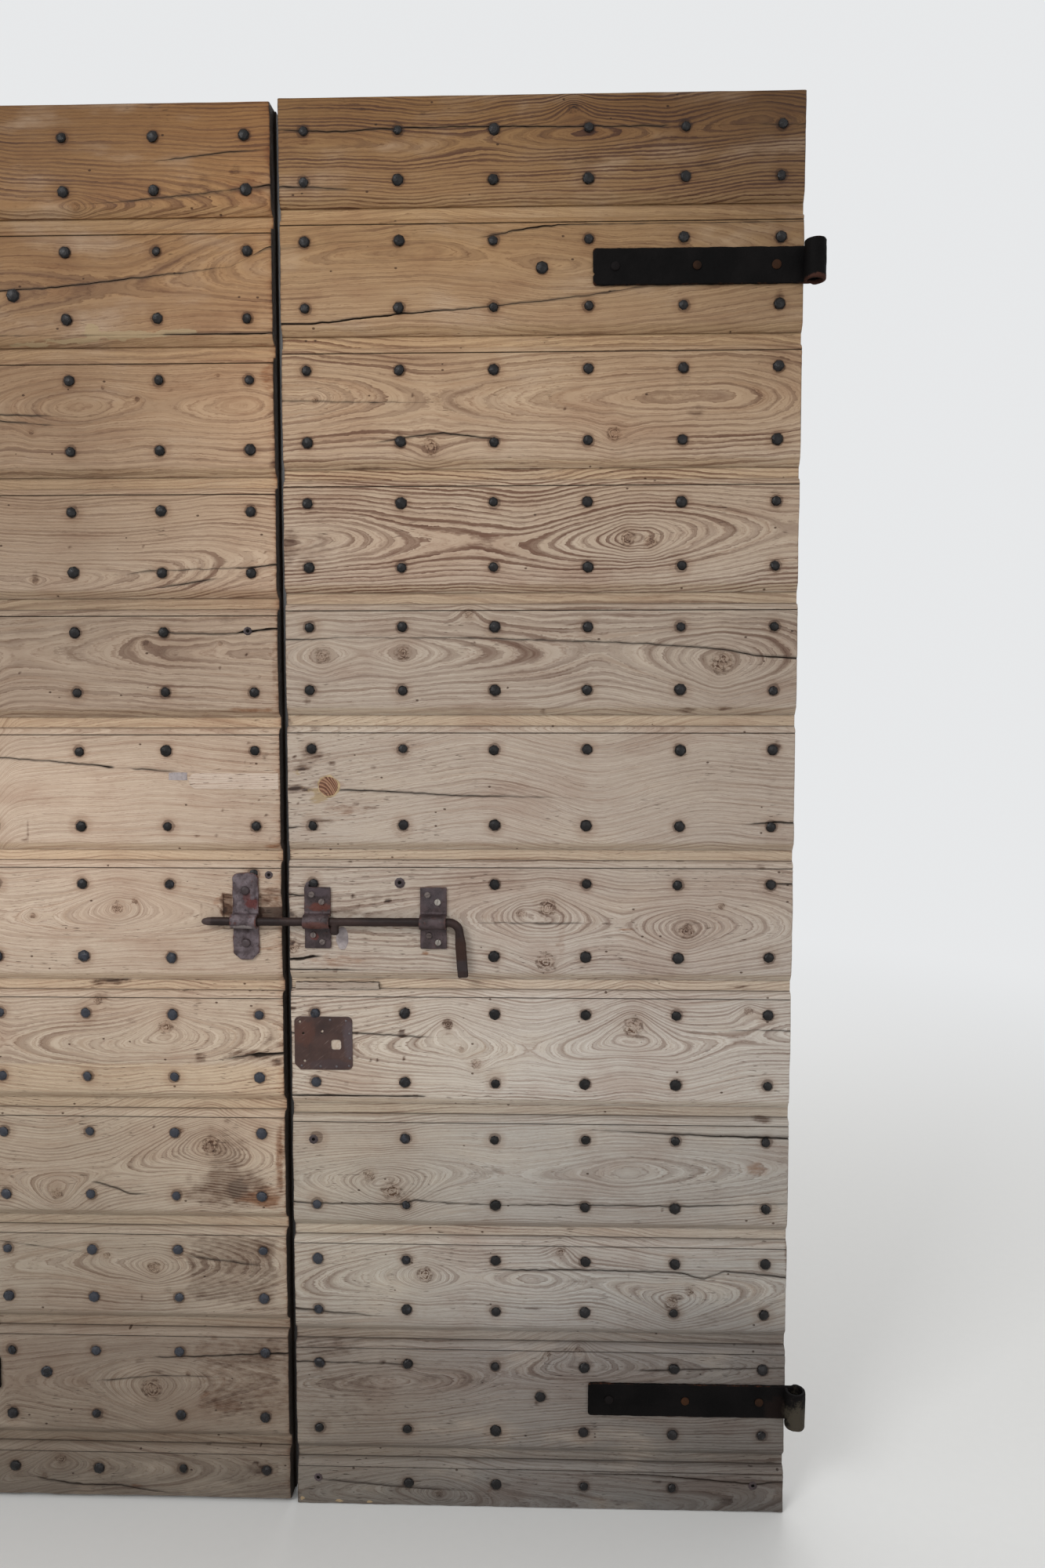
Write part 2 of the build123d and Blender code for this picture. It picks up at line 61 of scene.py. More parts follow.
# Camera: it stands where the photograph was taken from
viewpoint = {"place": (0.397, -1.549, 1.224), "down": 3.791, "left": 1.563, "lens": 24.0, "sensor": 36.0}
photo = {"width": 1333, "height": 2000}

eye = bpy.data.cameras.new("photoCamera")
eye.lens = viewpoint["lens"]
eye.sensor_fit = "VERTICAL"
eye.sensor_height = viewpoint["sensor"]
eye.clip_start = 0.05
eye.clip_end = 60
camera = bpy.data.objects.new("photoCamera", eye)
camera.location = viewpoint["place"]
camera.rotation_euler = (math.radians(90 - viewpoint["down"]), 0, math.radians(viewpoint["left"]))
scene.collection.objects.link(camera)
scene.camera = camera

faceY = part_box("dutchman_patch")[0].y  # front of the boards
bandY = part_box("band_strip")[1].y      # floor of the sunk bands
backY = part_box("right_back_plank_1")[1].y
doorHeight = 2.1


def onFace(u, v):
    # the point (x, z) of the door's face that the photograph shows at pixel (u, v)
    turn = np.array(camera.rotation_euler.to_matrix())
    pixelsPerUnit = viewpoint["lens"] / viewpoint["sensor"] * photo["height"]
    across, up = u - photo["width"] / 2, photo["height"] / 2 - v
    ray = turn @ np.array([across / pixelsPerUnit, up / pixelsPerUnit, -1])
    place = np.array(viewpoint["place"])
    hit = place + ray * (faceY - place[1]) / ray[1]
    return hit[0], hit[2]


# Shader sums: a wrapped socket adds Math nodes when it is used in an expression
class Wire:
    def __init__(self, tree, socket):
        self.tree = tree
        self.socket = socket

    def apply(self, operation, *others):
        return addNode(self.tree, "ShaderNodeMath", {"operation": operation}, dict(enumerate((self, *others))))

    def __add__(self, other):
        return self.apply("ADD", other)

    __radd__ = __add__

    def __sub__(self, other):
        return self.apply("SUBTRACT", other)

    def __rsub__(self, other):
        return addNode(self.tree, "ShaderNodeMath", {"operation": "SUBTRACT"}, {0: other, 1: self})

    def __mul__(self, other):
        return self.apply("MULTIPLY", other)

    __rmul__ = __mul__

    def __truediv__(self, other):
        return self.apply("DIVIDE", other)

    def __gt__(self, other):
        return self.apply("GREATER_THAN", other)

    def rise(self, low, high):
        # 0 below low, 1 above high, smooth between them; low may be the larger
        return addNode(self.tree, "ShaderNodeMapRange", {"interpolation_type": "SMOOTHSTEP", "clamp": True},
                       {"Value": self, "From Min": low, "From Max": high})

    def blend(self, mode, share, other):
        return mixColours(self.tree, share, self, other, mode)

    def tint(self, *layers):
        # darkened or coloured by each (share, colour) in turn
        base = self
        for share, colour in layers:
            base = base.blend("MULTIPLY", share, colour)
        return base

    def vector(self, operation, other=(0, 0, 0), out="Vector"):
        # SCALE takes a number, the others take a vector
        key = "Scale" if operation == "SCALE" else 1
        return addNode(self.tree, "ShaderNodeVectorMath", {"operation": operation}, {0: self, key: other}, out)

    def split(self):
        node = addNode(self.tree, "ShaderNodeSeparateXYZ", {}, {0: self}).socket.node
        return [Wire(self.tree, socket) for socket in node.outputs]


def findSocket(sockets, key):
    if isinstance(key, int):
        return sockets[key]
    return next((s for s in sockets if s.identifier == key), None) or sockets[key]


def addNode(tree, kind, settings, values, out=0):
    # one node of any kind: its settings first, then the values or links of its sockets
    node = tree.nodes.new(kind)
    for key, setting in settings.items():
        if key == "stops":
            stops = node.color_ramp.elements
            while len(stops) < len(setting):
                stops.new(0.5)
            for stop, (place, colour) in zip(stops, setting):
                stop.position = place
                stop.color = (*colour, 1)
        else:
            setattr(node, key, setting)
    for key, value in values.items():
        socket = findSocket(node.inputs, key)
        if isinstance(value, Wire):
            tree.links.new(value.socket, socket)
        elif isinstance(value, tuple) and socket.type == "RGBA":
            socket.default_value = (*value, 1)
        else:
            socket.default_value = value
    return Wire(tree, findSocket(node.outputs, out))


def mixColours(tree, share, first, second, mode="MIX"):
    return addNode(tree, "ShaderNodeMix", {"data_type": "RGBA", "blend_type": mode},
                   {"Factor_Float": share, "A_Color": first, "B_Color": second}, "Result_Color")


def joined(tree, x, y, z):
    return addNode(tree, "ShaderNodeCombineXYZ", {}, {"X": x, "Y": y, "Z": z})


def relief(height, strength, distance):
    return addNode(height.tree, "ShaderNodeBump", {}, {"Strength": strength, "Distance": distance, "Height": height},
                   "Normal")


def grainNoise(place, scale, detail=4.0, roughness=0.55, stretch=None):
    # noise at the object's own coordinates, finer along an axis that is stretched
    place = place.vector("MULTIPLY", stretch) if stretch else place
    return addNode(place.tree, "ShaderNodeTexNoise", {"noise_dimensions": "3D"},
                   {"Vector": place, "Scale": scale, "Detail": detail, "Roughness": roughness})


def attribute(tree, name):
    return addNode(tree, "ShaderNodeAttribute", {"attribute_name": name}, {}, "Vector")


def startMaterial(name):
    # a new material, its tree, its shader node and the object's own coordinates
    material = bpy.data.materials.new(name)
    material.use_nodes = True
    tree = material.node_tree
    tree.nodes.clear()
    out = tree.nodes.new("ShaderNodeOutputMaterial")
    surface = tree.nodes.new("ShaderNodeBsdfPrincipled")
    tree.links.new(surface.outputs[0], out.inputs["Surface"])
    place = addNode(tree, "ShaderNodeTexCoord", {}, {}, "Object")
    return material, tree, surface, place


def setShader(surface, values):
    for key, value in values.items():
        if isinstance(value, Wire):
            surface.id_data.links.new(value.socket, surface.inputs[key])
        else:
            surface.inputs[key].default_value = value


def srgb(red, green, blue):
    # a colour as it is read on screen, 0 to 255, turned linear for the shader
    return tuple(((c / 255 + 0.055) / 1.055) ** 2.4 if c > 10 else c / 255 / 12.92 for c in (red, green, blue))


def newMesh(name, points, faces, material=None):
    mesh = bpy.data.meshes.new(name)
    mesh.from_pydata(points, [], faces)
    if material:
        mesh.materials.append(material)
    return newPiece(name, mesh)


def newPiece(name, mesh):
    piece = bpy.data.objects.new(name, mesh)
    scene.collection.objects.link(piece)
    return piece


def seat(piece, slot, *replaced, body="door"):
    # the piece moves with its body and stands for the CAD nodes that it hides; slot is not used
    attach(piece, body)
    for node in replaced:
        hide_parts(node)
    return piece


# Light and floor
studio = {"backdrop": (0.80, 0.81, 0.82), "sky": 0.72, "floor": (0.62, 0.62, 0.61), "floorSize": 24.0,
          "floorNear": 1.3, "floorFar": 4.5, "speckle": 60.0}
lamps = {
    "keyLamp": {"place": (-1.9, -3.0, 3.3), "aim": (0.1, 0, 1.15), "size": 1.6, "power": 85},
    "fillLamp": {"place": (2.6, -3.2, 1.6), "aim": (0.2, 0, 1.0), "size": 2.4, "power": 30},
    "backLamp": {"place": (0.8, 3.4, 2.8), "aim": (0.0, 0, 1.0), "size": 2.4, "power": 60},
}


def lightStudio():
    world = bpy.data.worlds.new("studio")
    scene.world = world
    world.use_nodes = True
    tree = world.node_tree
    tree.nodes.clear()
    seen = addNode(tree, "ShaderNodeBackground", {}, {"Color": studio["backdrop"]})
    lit = addNode(tree, "ShaderNodeBackground", {}, {"Color": (1, 1, 1), "Strength": studio["sky"]})
    # the camera, and what gloss and glass show, see the backdrop's own colour
    path = tree.nodes.new("ShaderNodeLightPath").outputs
    toCamera, gloss, glass = (Wire(tree, path[f"Is {kind} Ray"]) for kind in ("Camera", "Glossy", "Transmission"))
    share = toCamera.apply("MAXIMUM", gloss).apply("MAXIMUM", glass)
    mixed = addNode(tree, "ShaderNodeMixShader", {}, {0: share, 1: lit, 2: seen})
    tree.links.new(mixed.socket, tree.nodes.new("ShaderNodeOutputWorld").inputs["Surface"])
    for name, look in lamps.items():
        lamp = bpy.data.lights.new(name, "AREA")
        lamp.size = look["size"]
        lamp.energy = look["power"]
        holder = newPiece(name, lamp)
        holder.location = look["place"]
        aim = Vector(look["aim"]) - Vector(look["place"])
        holder.rotation_euler = aim.to_track_quat("-Z", "Y").to_euler()


def floorMaterial():
    material, tree, surface, place = startMaterial("studioFloor")
    speckle = grainNoise(place, studio["speckle"])
    darker = tuple(c * 0.97 for c in studio["floor"])
    setShader(surface, {"Base Color": mixColours(tree, speckle, studio["floor"], darker), "Roughness": 0.9})
    # seen from the camera, the far floor runs into the backdrop
    away = place.vector("MULTIPLY", (1, 1, 0)).vector("LENGTH", out="Value")
    seen = addNode(tree, "ShaderNodeLightPath", {}, {}, "Is Camera Ray")
    glow = addNode(tree, "ShaderNodeEmission", {}, {"Color": studio["backdrop"], "Strength": 1.0})
    mixed = addNode(tree, "ShaderNodeMixShader", {}, {0: away.rise(studio["floorNear"], studio["floorFar"]) * seen,
                                                      1: Wire(tree, surface.outputs[0]), 2: glow})
    out = next(n for n in tree.nodes if n.type == "OUTPUT_MATERIAL")
    tree.links.new(mixed.socket, out.inputs["Surface"])
    return material


lightStudio()
half = studio["floorSize"] / 2
floor = newMesh("studioFloor", [(-half, -half, 0), (half, -half, 0), (half, half, 0), (-half, half, 0)],
                [(0, 1, 2, 3)], floorMaterial())
print("camera, lights and floor are set")

# Boards: growth figure, knots, cracks and stains of each, at the pixels (u, v) where the photograph shows them.
# heart: (u, v, depth of the tree's heart behind the face), knots: (u, v, radius, swell), cracks: (u, v, width),
# stains and squares: (u, v, half width, half height, dark, rust), paint: (u, v, half width, half height, share).
# Sizes are in mm. newBelow: (v, share) makes the wood below v look newer; ring: width of a growth ring;
# contrast, fleck, tone, wormy: strength of the figure, of pores and flecks, of the board's colour and of worm holes
boardLooks = {
    "right_board_01": {
        "ring": 4.6, "contrast": 1.3, "fleck": 0.3,
        "heart": [(366, 180, 9), (430, 180, 7), (520, 186, 16), (610, 180, 24), (748, 172, 6), (850, 170, 20),
            (960, 152, 9), (1033, 154, 20)],
        "knots": [(731, 139, 7, 16)],
        "cracks": [[(366, 166, 0.5), (420, 168, 1.2), (490, 164, 1.0), (560, 162, 0.7), (620, 161.5, 1.1),
            (730, 161, 0.8), (845, 160.5, 0.7), (860, 160, 0.15), (1033, 158, 0.5)],
            [(366, 238, 0.9), (420, 240, 0.5), (470, 242, 0.2), (500, 242, 0)]],
        "stains": [(465, 140, 12, 3, 0.6, 0), (540, 145, 8, 3, 0.6, 0), (745, 204, 45, 9, 0.45, 0),
            (905, 212, 25, 8, 0.5, 0), (770, 243, 10, 5, 0.3, 0), (870, 180, 50, 22, 0.3, 0.1)],
    },
    "right_board_02": {
        "ring": 7.4, "contrast": 0.55, "fleck": 0.3,
        "heart": [(366, 332, 20), (440, 326, 11), (543, 320, 3), (630, 330, 17), (700, 337, 8), (770, 338, 18),
            (860, 330, 34), (1033, 320, 60)],
        "cracks": [[(366, 317, 0.4), (434, 308.5, 0.3), (560, 306, 0), (612, 303.5, 0.3), (661, 293, 1.1),
            (700, 288, 1.4), (740, 284, 0.5)],
            [(366, 418, 2.6), (430, 410, 2.0), (503, 401, 1.4), (617, 392, 0.6), (748, 377, 0.6), (818, 366, 0.4),
            (1033, 356, 0.15)]],
        "stains": [(870, 309, 6, 5, 0.4, 0.2), (995, 309, 6, 6, 0.5, 0.4), (995, 378, 9, 9, 0.7, 0.1),
            (873, 377, 5, 5, 0.3, 0.1), (600, 405, 40, 12, 0.25, 0)],
    },
    "right_board_03": {
        "ring": 7.6, "contrast": 0.8, "fleck": 0.45,
        "heart": [(366, 510, 12), (400, 509, 16), (470, 510, 32), (545, 512, 46), (600, 512, 40), (690, 508, 29),
            (760, 507, 20), (850, 505, 12), (930, 502, 9), (980, 505, 24), (1033, 505, 42)],
        "knots": [(549, 571, 11, 14), (785, 553, 9, 14), (401, 510, 4, 8)],
        "cracks": [[(366, 511.5, 0.5), (440, 513, 0.5), (547, 513, 0.3), (600, 512, 0)],
            [(470, 566, 0), (486, 563, 0.5), (530, 556, 0.8), (565, 552, 1.2), (626, 559, 0.6), (650, 560, 0)]],
        "stains": [(480, 503, 12, 12, 0.25, 0), (526, 504, 3, 3, 0.9, 0.2), (741, 503, 3, 3, 0.8, 0.2),
            (719, 521, 3, 3, 0.8, 0.2), (870, 487, 14, 11, 0.4, 0.1), (890, 525, 16, 12, 0.5, 0),
            (965, 497, 14, 14, 0.35, 0.3), (500, 517, 30, 10, 0.35, 0), (470, 596, 40, 4, 0.6, 0.1)],
    },
    "right_board_04": {
        "ring": 5.6, "contrast": 1.15, "fleck": 0.4,
        "heart": [(366, 690, 4), (430, 688, 14), (520, 690, 34), (600, 690, 41), (680, 696, 36), (740, 690, 22),
            (790, 684, 8), (830, 682, 8), (900, 680, 27), (1003, 674, 48), (1033, 675, 44)],
        "knots": [(801, 687, 9, 10), (829, 691, 8, 8)],
        "stains": [(368, 700, 20, 30, 0.6, 0.2), (392, 700, 46, 30, 0.4, 0.25), (455, 702, 30, 20, 0.3, 0.15),
            (813, 690, 24, 26, 0.3, 0.1), (700, 650, 10, 14, 0.3, 0), (700, 725, 18, 10, 0.25, 0),
            (478, 640, 14, 9, 0.25, 0.2)],
    },
    "right_board_05": {
        "tone": 0.94, "ring": 7.4, "contrast": 0.62, "fleck": 0.35,
        "heart": [(366, 838, 26), (410, 837, 7), (460, 836, 18), (514, 833, 6), (560, 832, 19), (640, 832, 29),
            (700, 834, 37), (765, 822, 46), (830, 832, 35), (870, 836, 22), (918, 843, 6), (980, 838, 25),
            (1030, 835, 46)],
        "knots": [(410, 837, 10, 6), (514, 833, 9, 6), (919, 846, 14, 10), (598, 784, 6, 14)],
        "cracks": [[(362, 816, 0.7), (440, 813.5, 0.4), (617, 814, 0.5), (818, 820.5, 0.6), (923, 828, 0.7),
            (967, 837, 1.0), (1030, 841, 1.4)]],
        "stains": [(765, 822, 26, 14, 0.3, 0.05), (392, 895, 7, 6, 0.6, 0.3), (693, 908, 6, 5, 0.6, 0.1),
            (875, 905, 20, 5, 0.6, 0.2), (925, 903, 18, 4, 0.6, 0.4), (845, 885, 12, 10, 0.3, 0)],
    },
    "right_board_06": {
        "wormy": 1.3, "ring": 5.8, "contrast": 0.42, "fleck": 0.5,
        "heart": [(366, 880, 44), (480, 870, 60), (620, 850, 66), (760, 880, 52), (900, 850, 66), (1028, 860, 60)],
        "cracks": [[(425, 1007, 0), (445, 1007.5, 1.0), (500, 1010, 0.75), (595, 1015, 0.75), (713, 1017.5, 0.25),
            (900, 1019, 0)],
            [(366, 1056, 1.2), (380, 1055, 0.4), (420, 1054, 0), (940, 1052, 0), (990, 1049, 1.4),
            (1024, 1049.5, 1.2)]],
        "stains": [(376, 1006, 18, 6, 1.0, 0), (392, 1008, 9, 4, 1.0, 0), (384, 980, 12, 3, 1.0, 0.2),
            (418, 1004, 24, 22, 0.1, 0.45), (390, 975, 24, 14, 0.45, 0.3), (440, 1032, 44, 12, 0.35, 0.45),
            (392, 962, 14, 10, 0.5, 0.3), (514, 997, 8, 10, 0.35, 0.1), (985, 1003, 16, 26, 0.3, 0.15),
            (991, 952, 8, 10, 0.75, 0.3), (390, 896, 5, 4, 0.5, 0), (376, 966, 3, 3, 0.9, 0),
            (405, 964, 10, 7, 0.6, 0.3), (423, 973, 7, 4, 0.7, 0.3), (423, 981, 12, 4, 0.6, 0.1),
            (470, 1030, 16, 4, 0.6, 0.4), (456, 1025, 5, 4, 0.6, 0.1), (380, 1024, 4, 3, 0.7, 0),
            (378, 1037, 4, 3, 0.6, 0), (409, 1047, 22, 4, 0.7, 0.1), (391, 1071, 5, 3, 0.6, 0),
            (477, 979, 6, 4, 0.5, 0), (404, 1000, 12, 5, 0.5, 0.4)],
        "paint": [(406, 1012, 30, 18, 0.62), (380, 985, 20, 8, 0.5)],
    },
    "right_board_07": {
        "wormy": 1.2, "ring": 5.0, "contrast": 0.62, "fleck": 0.8,
        "heart": [(366, 1170, 52), (560, 1170, 42), (630, 1172, 26), (690, 1176, 7), (740, 1175, 22), (800, 1180, 36),
            (876, 1182, 7), (940, 1180, 27), (1026, 1180, 52)],
        "knots": [(665, 1165, 6, 10), (698, 1157, 11, 12), (697, 1227, 13, 12), (876, 1187, 10, 12),
            (920, 1156, 4, 5), (374, 1208, 9, 4)],
        "cracks": [[(366, 1224, 2.4), (385, 1223, 1.8), (399, 1220, 1.6), (410, 1220, 0.3), (440, 1219, 0)],
            [(366, 1240, 1.0), (429, 1239, 0.7), (480, 1236, 0.2), (530, 1236, 0)],
            [(600, 1177, 0), (617, 1177, 0.4), (704, 1177.6, 0.5), (760, 1178, 0.2), (1026, 1178, 0)],
            [(366, 1141, 1.4), (385, 1142, 0.9), (440, 1143, 0), (980, 1128, 0), (993, 1127.5, 0.9),
            (1022, 1128, 1.2)]],
        "stains": [(440, 1165, 66, 6, 0.55, 0), (575, 1190, 12, 60, 0.25, 0), (510, 1126, 8, 8, 0.7, 0.4),
            (480, 1144, 14, 8, 0.5, 0.1), (452, 1144, 6, 4, 0.6, 0.2), (716, 1195, 9, 46, 0.3, 0.35),
            (430, 1225, 60, 12, 0.2, 0.45), (972, 1106, 9, 8, 0.5, 0.1), (543, 1216, 6, 5, 0.1, 0.8),
            (800, 1186, 16, 3, 0.1, 0.6), (771, 1178, 6, 3, 0.7, 0.1), (370, 1140, 6, 4, 0.6, 0),
            (428, 1121, 5, 4, 0.5, 0), (494, 1149, 7, 3, 1.0, 0), (508, 1147, 14, 4, 0.6, 0),
            (457, 1155, 5, 5, 0.5, 0), (515, 1190, 5, 4, 0.5, 0.1), (529, 1199, 6, 5, 0.5, 0),
            (428, 1238, 6, 4, 0.7, 0), (371, 1204, 6, 6, 1.0, 0), (368, 1165, 14, 8, 0.9, 0),
            (397, 1220, 5, 3, 1.0, 0), (451, 1143, 4, 4, 0.9, 0)],
    },
    "right_board_08": {
        "tone": 1.03, "wormy": 0.9, "ring": 4.6, "contrast": 0.78, "fleck": 0.6,
        "heart": [(370, 1335, 52), (480, 1336, 32), (571, 1330, 16), (680, 1340, 36), (760, 1335, 14), (807, 1322, 6),
            (860, 1336, 17), (940, 1326, 30), (1018, 1318, 20)],
        "knots": [(571, 1307, 7, 12), (808, 1310, 13, 16), (608, 1359, 7, 8), (955, 1290, 6, 12), (588, 1339, 4, 5)],
        "cracks": [[(372, 1398, 1.2), (420, 1399, 1.8), (477, 1400, 1.0), (534, 1404, 1.2), (545, 1404, 0.2),
            (700, 1404, 0)],
            [(455, 1318, 1.0), (480, 1319, 0.6), (520, 1322, 0.7), (560, 1324, 0.2), (800, 1320, 0), (960, 1314, 0.4),
            (1016, 1315, 0.6)]],
        "stains": [(571, 1308, 8, 14, 0.7, 0), (513, 1317, 5, 6, 0.85, 0.1), (454, 1318, 4, 4, 0.9, 0),
            (454, 1349, 3, 3, 0.9, 0), (473, 1352, 3, 3, 0.9, 0), (515, 1351, 4, 4, 0.9, 0),
            (481, 1352, 3, 3, 0.9, 0), (530, 1398, 6, 5, 0.6, 0.3), (945, 1262, 20, 4, 0.7, 0),
            (937, 1366, 16, 20, 0.2, 0.3), (443, 1381, 6, 6, 0.4, 0.2), (815, 1324, 12, 8, 0.5, 0),
            (388, 1381, 3, 3, 0.9, 0), (374, 1286, 6, 4, 0.9, 0), (593, 1281, 12, 4, 0.5, 0),
            (400, 1290, 10, 4, 0.4, 0.2), (512, 1320, 9, 5, 0.9, 0)],
    },
    "right_board_09": {
        "tone": 0.91, "ring": 4.4, "contrast": 0.55, "fleck": 0.6,
        "heart": [(370, 1506, 34), (430, 1508, 20), (495, 1512, 4), (560, 1500, 25), (640, 1497, 36), (720, 1496, 30),
            (800, 1496, 22), (836, 1495, 27), (900, 1494, 35), (1013, 1490, 46)],
        "knots": [(501, 1519, 13, 18), (472, 1500, 8, 6)],
        "cracks": [[(370, 1532, 1.0), (401, 1535, 0.6), (514, 1536, 0.9), (530, 1530, 0.8), (545, 1533, 0.5),
            (626, 1537, 0.5), (748, 1537, 0.6), (862, 1539, 0.7), (1012, 1535, 0.4)],
            [(740, 1441, 0), (755, 1441, 0.3), (862, 1447, 0.9), (1012, 1453, 1.6)]],
        "stains": [(629, 1494, 22, 9, 0.5, 0.05), (965, 1492, 22, 12, 0.1, 0.55), (971, 1430, 18, 5, 0.7, 0.1),
            (813, 1559, 9, 4, 0.7, 0), (535, 1500, 30, 14, 0.25, 0), (450, 1480, 40, 20, 0.2, 0.1),
            (845, 1544, 4, 3, 0.8, 0), (372, 1405, 4, 6, 0.6, 0), (459, 1436, 3, 5, 0.6, 0.3)],
    },
    "right_board_10": {
        "tone": 1.01, "ring": 5.0, "contrast": 0.62, "fleck": 0.7,
        "heart": [(370, 1640, 42), (480, 1630, 24), (542, 1626, 7), (600, 1628, 20), (690, 1632, 9), (760, 1634, 25),
            (857, 1656, 7), (930, 1650, 25), (1008, 1640, 42)],
        "knots": [(542, 1625, 10, 12), (715, 1597, 6, 16), (857, 1663, 10, 14), (879, 1647, 6, 8)],
        "cracks": [[(600, 1616, 0), (635, 1619, 0.5), (661, 1620, 1.0), (748, 1620, 0.9), (870, 1623.4, 0.8),
            (897, 1632, 0.6), (925, 1621, 0.5), (1002, 1630, 1.2)],
            [(370, 1667, 1.0), (399, 1670.6, 1.0), (430, 1674, 0.7), (499, 1680, 0.2), (600, 1682, 0)]],
        "stains": [(735, 1634, 24, 5, 0.5, 0), (725, 1617, 22, 6, 0.4, 0), (900, 1685, 30, 14, 0.35, 0),
            (920, 1640, 30, 20, 0.25, 0.1), (679, 1670, 16, 2, 0.8, 0), (430, 1640, 26, 12, 0.2, 0.1),
            (802, 1625, 5, 12, 0.4, 0.1), (1005, 1600, 6, 40, 0.5, 0.4)],
    },
    "right_board_11": {
        "ring": 4.8, "contrast": 0.72, "fleck": 0.75,
        "heart": [(370, 1766, 26), (500, 1760, 13), (560, 1762, 21), (640, 1752, 36), (739, 1738, 9), (800, 1742, 27),
            (880, 1745, 36), (1003, 1745, 46)],
        "knots": [(739, 1722, 5, 18), (700, 1727, 3, 8)],
        "cracks": [[(372, 1736, 1.2), (425, 1737, 0.5), (516, 1740, 0.6), (560, 1741, 0), (800, 1748, 0),
            (836, 1748, 0.9), (920, 1746, 0.6), (1002, 1745, 0.6)]],
        "stains": [(548, 1758, 22, 9, 0.45, 0.2), (608, 1761, 18, 9, 0.5, 0.2), (685, 1789, 5, 5, 0.7, 0.2),
            (739, 1785, 6, 9, 0.3, 0.2), (500, 1755, 60, 20, 0.2, 0.15), (730, 1722, 34, 6, 0.5, 0),
            (488, 1737, 6, 3, 0.8, 0), (900, 1826, 30, 4, 0.5, 0), (420, 1720, 60, 14, 0.5, 0.3),
            (450, 1765, 90, 30, 0.38, 0.3), (430, 1800, 60, 20, 0.4, 0.25)],
    },
    "right_board_12": {
        "tone": 1.05, "wormy": 0.5, "ring": 4.6, "contrast": 0.6, "fleck": 0.9,
        "heart": [(372, 1905, 40), (500, 1900, 26), (560, 1905, 12), (640, 1915, 30), (850, 1925, 44),
            (998, 1900, 60)],
        "knots": [(560, 1905, 5, 14)],
        "cracks": [[(400, 1886, 0), (425, 1888, 0.7), (508, 1896.6, 0.6), (617, 1903, 0.3), (650, 1897, 0),
            (730, 1877, 0), (761, 1874.7, 0.6), (857, 1883.5, 1.3), (962, 1893.5, 1.4), (996, 1890, 0.8)]],
        "paint": [(386, 1911, 5, 4, 0.95), (433, 1914, 6, 3, 0.9), (471, 1915, 7, 3, 0.9)],
        "stains": [(838, 1890, 10, 5, 0.7, 0.2), (406, 1884, 8, 8, 0.5, 0.2), (960, 1895, 8, 6, 0.7, 0.1),
            (645, 1894, 10, 6, 0.5, 0), (560, 1915, 60, 6, 0.4, 0), (928, 1915, 20, 8, 0.5, 0),
            (624, 1902, 5, 5, 0.4, 0.6), (760, 1878, 70, 4, 0.35, 0.1), (880, 1905, 120, 8, 0.3, 0)],
    },
    "left_board_01": {
        "tone": 1.04, "ring": 5.6, "contrast": 0.85, "fleck": 0.3,
        "heart": [(0, 266, 7), (96, 264, 9), (150, 264, 17), (200, 262, 26), (250, 262, 36), (300, 260, 44),
            (360, 252, 52)],
        "knots": [(96, 263, 5, 12)],
        "cracks": [[(0, 268, 0), (90, 262, 0), (112, 260, 0.3), (180, 255, 0.6), (255, 247, 0.6), (310, 240, 0.4),
            (330, 238, 1.2), (357, 234, 1.6)],
            [(0, 222, 0), (180, 208, 0), (198, 206, 0.4), (287, 194, 0.9), (319, 191.7, 0.5), (356, 190, 0)]],
        "stains": [(320, 240, 50, 40, 0.2, 0.4), (240, 240, 12, 18, 0.4, 0), (262, 236, 16, 20, 0.4, 0),
            (300, 218, 10, 12, 0.5, 0.1), (176, 238, 10, 18, 0.35, 0), (346, 200, 12, 30, 0.4, 0.6)],
    },
    "left_board_02": {
        "ring": 7.8, "contrast": 0.5, "fleck": 0.2,
        "heart": [(0, 374, 40), (150, 366, 52), (255, 346, 40), (312, 340, 22), (358, 340, 12)],
        "cracks": [[(0, 371, 0.9), (80, 366, 1.0), (159, 356, 1.0), (235, 347.5, 0.5), (293, 340, 0.35),
            (319, 328, 0.3), (340, 316, 0.9), (356, 313, 1.3)],
            [(0, 434, 0.4), (200, 431, 0.3), (250, 429.5, 1.2), (328, 426.5, 1.2), (357, 424, 0.6)]],
        "stains": [(335, 440, 24, 6, 0.4, 0.5), (275, 343, 14, 8, 0.3, 0)],
        "paint": [(165, 427, 90, 7, 0.9), (118, 420, 12, 10, 0.9), (30, 438, 40, 3, 0.8), (225, 424, 30, 5, 0.9),
            (95, 434, 50, 4, 0.8)],
    },
    "left_board_03": {
        "ring": 8.2, "contrast": 0.55, "fleck": 0.2,
        "heart": [(0, 520, 36), (50, 520, 21), (102, 520, 8), (150, 520, 20), (205, 518, 27), (270, 517, 17),
            (310, 517, 9), (340, 517, 19), (360, 517, 27)],
        "knots": [(175, 509, 3, 4), (40, 551, 4, 5), (278, 479, 2, 3), (131, 495, 2, 3)],
        "cracks": [[(0, 529, 0.7), (45, 530, 0.7), (70, 531, 0.2), (140, 533, 0)],
            [(0, 537, 0.7), (60, 542, 0.4), (100, 544, 0)]],
        "stains": [(345, 478, 16, 26, 0.25, 0.55), (175, 510, 6, 4, 0.5, 0.4), (200, 480, 8, 8, 0.3, 0.1),
            (350, 590, 10, 8, 0.7, 0.3)],
    },
    "left_board_04": {
        "ring": 4.8, "contrast": 0.75, "fleck": 0.4,
        "heart": [(0, 738, 5), (100, 738, 13), (200, 732, 26), (260, 724, 36), (300, 716, 44), (358, 715, 52)],
        "knots": [(45, 741, 4, 6)],
        "cracks": [[(140, 736, 0), (169, 731, 0.4), (192, 728, 0.6), (215, 727.5, 0.5), (300, 725, 0.5),
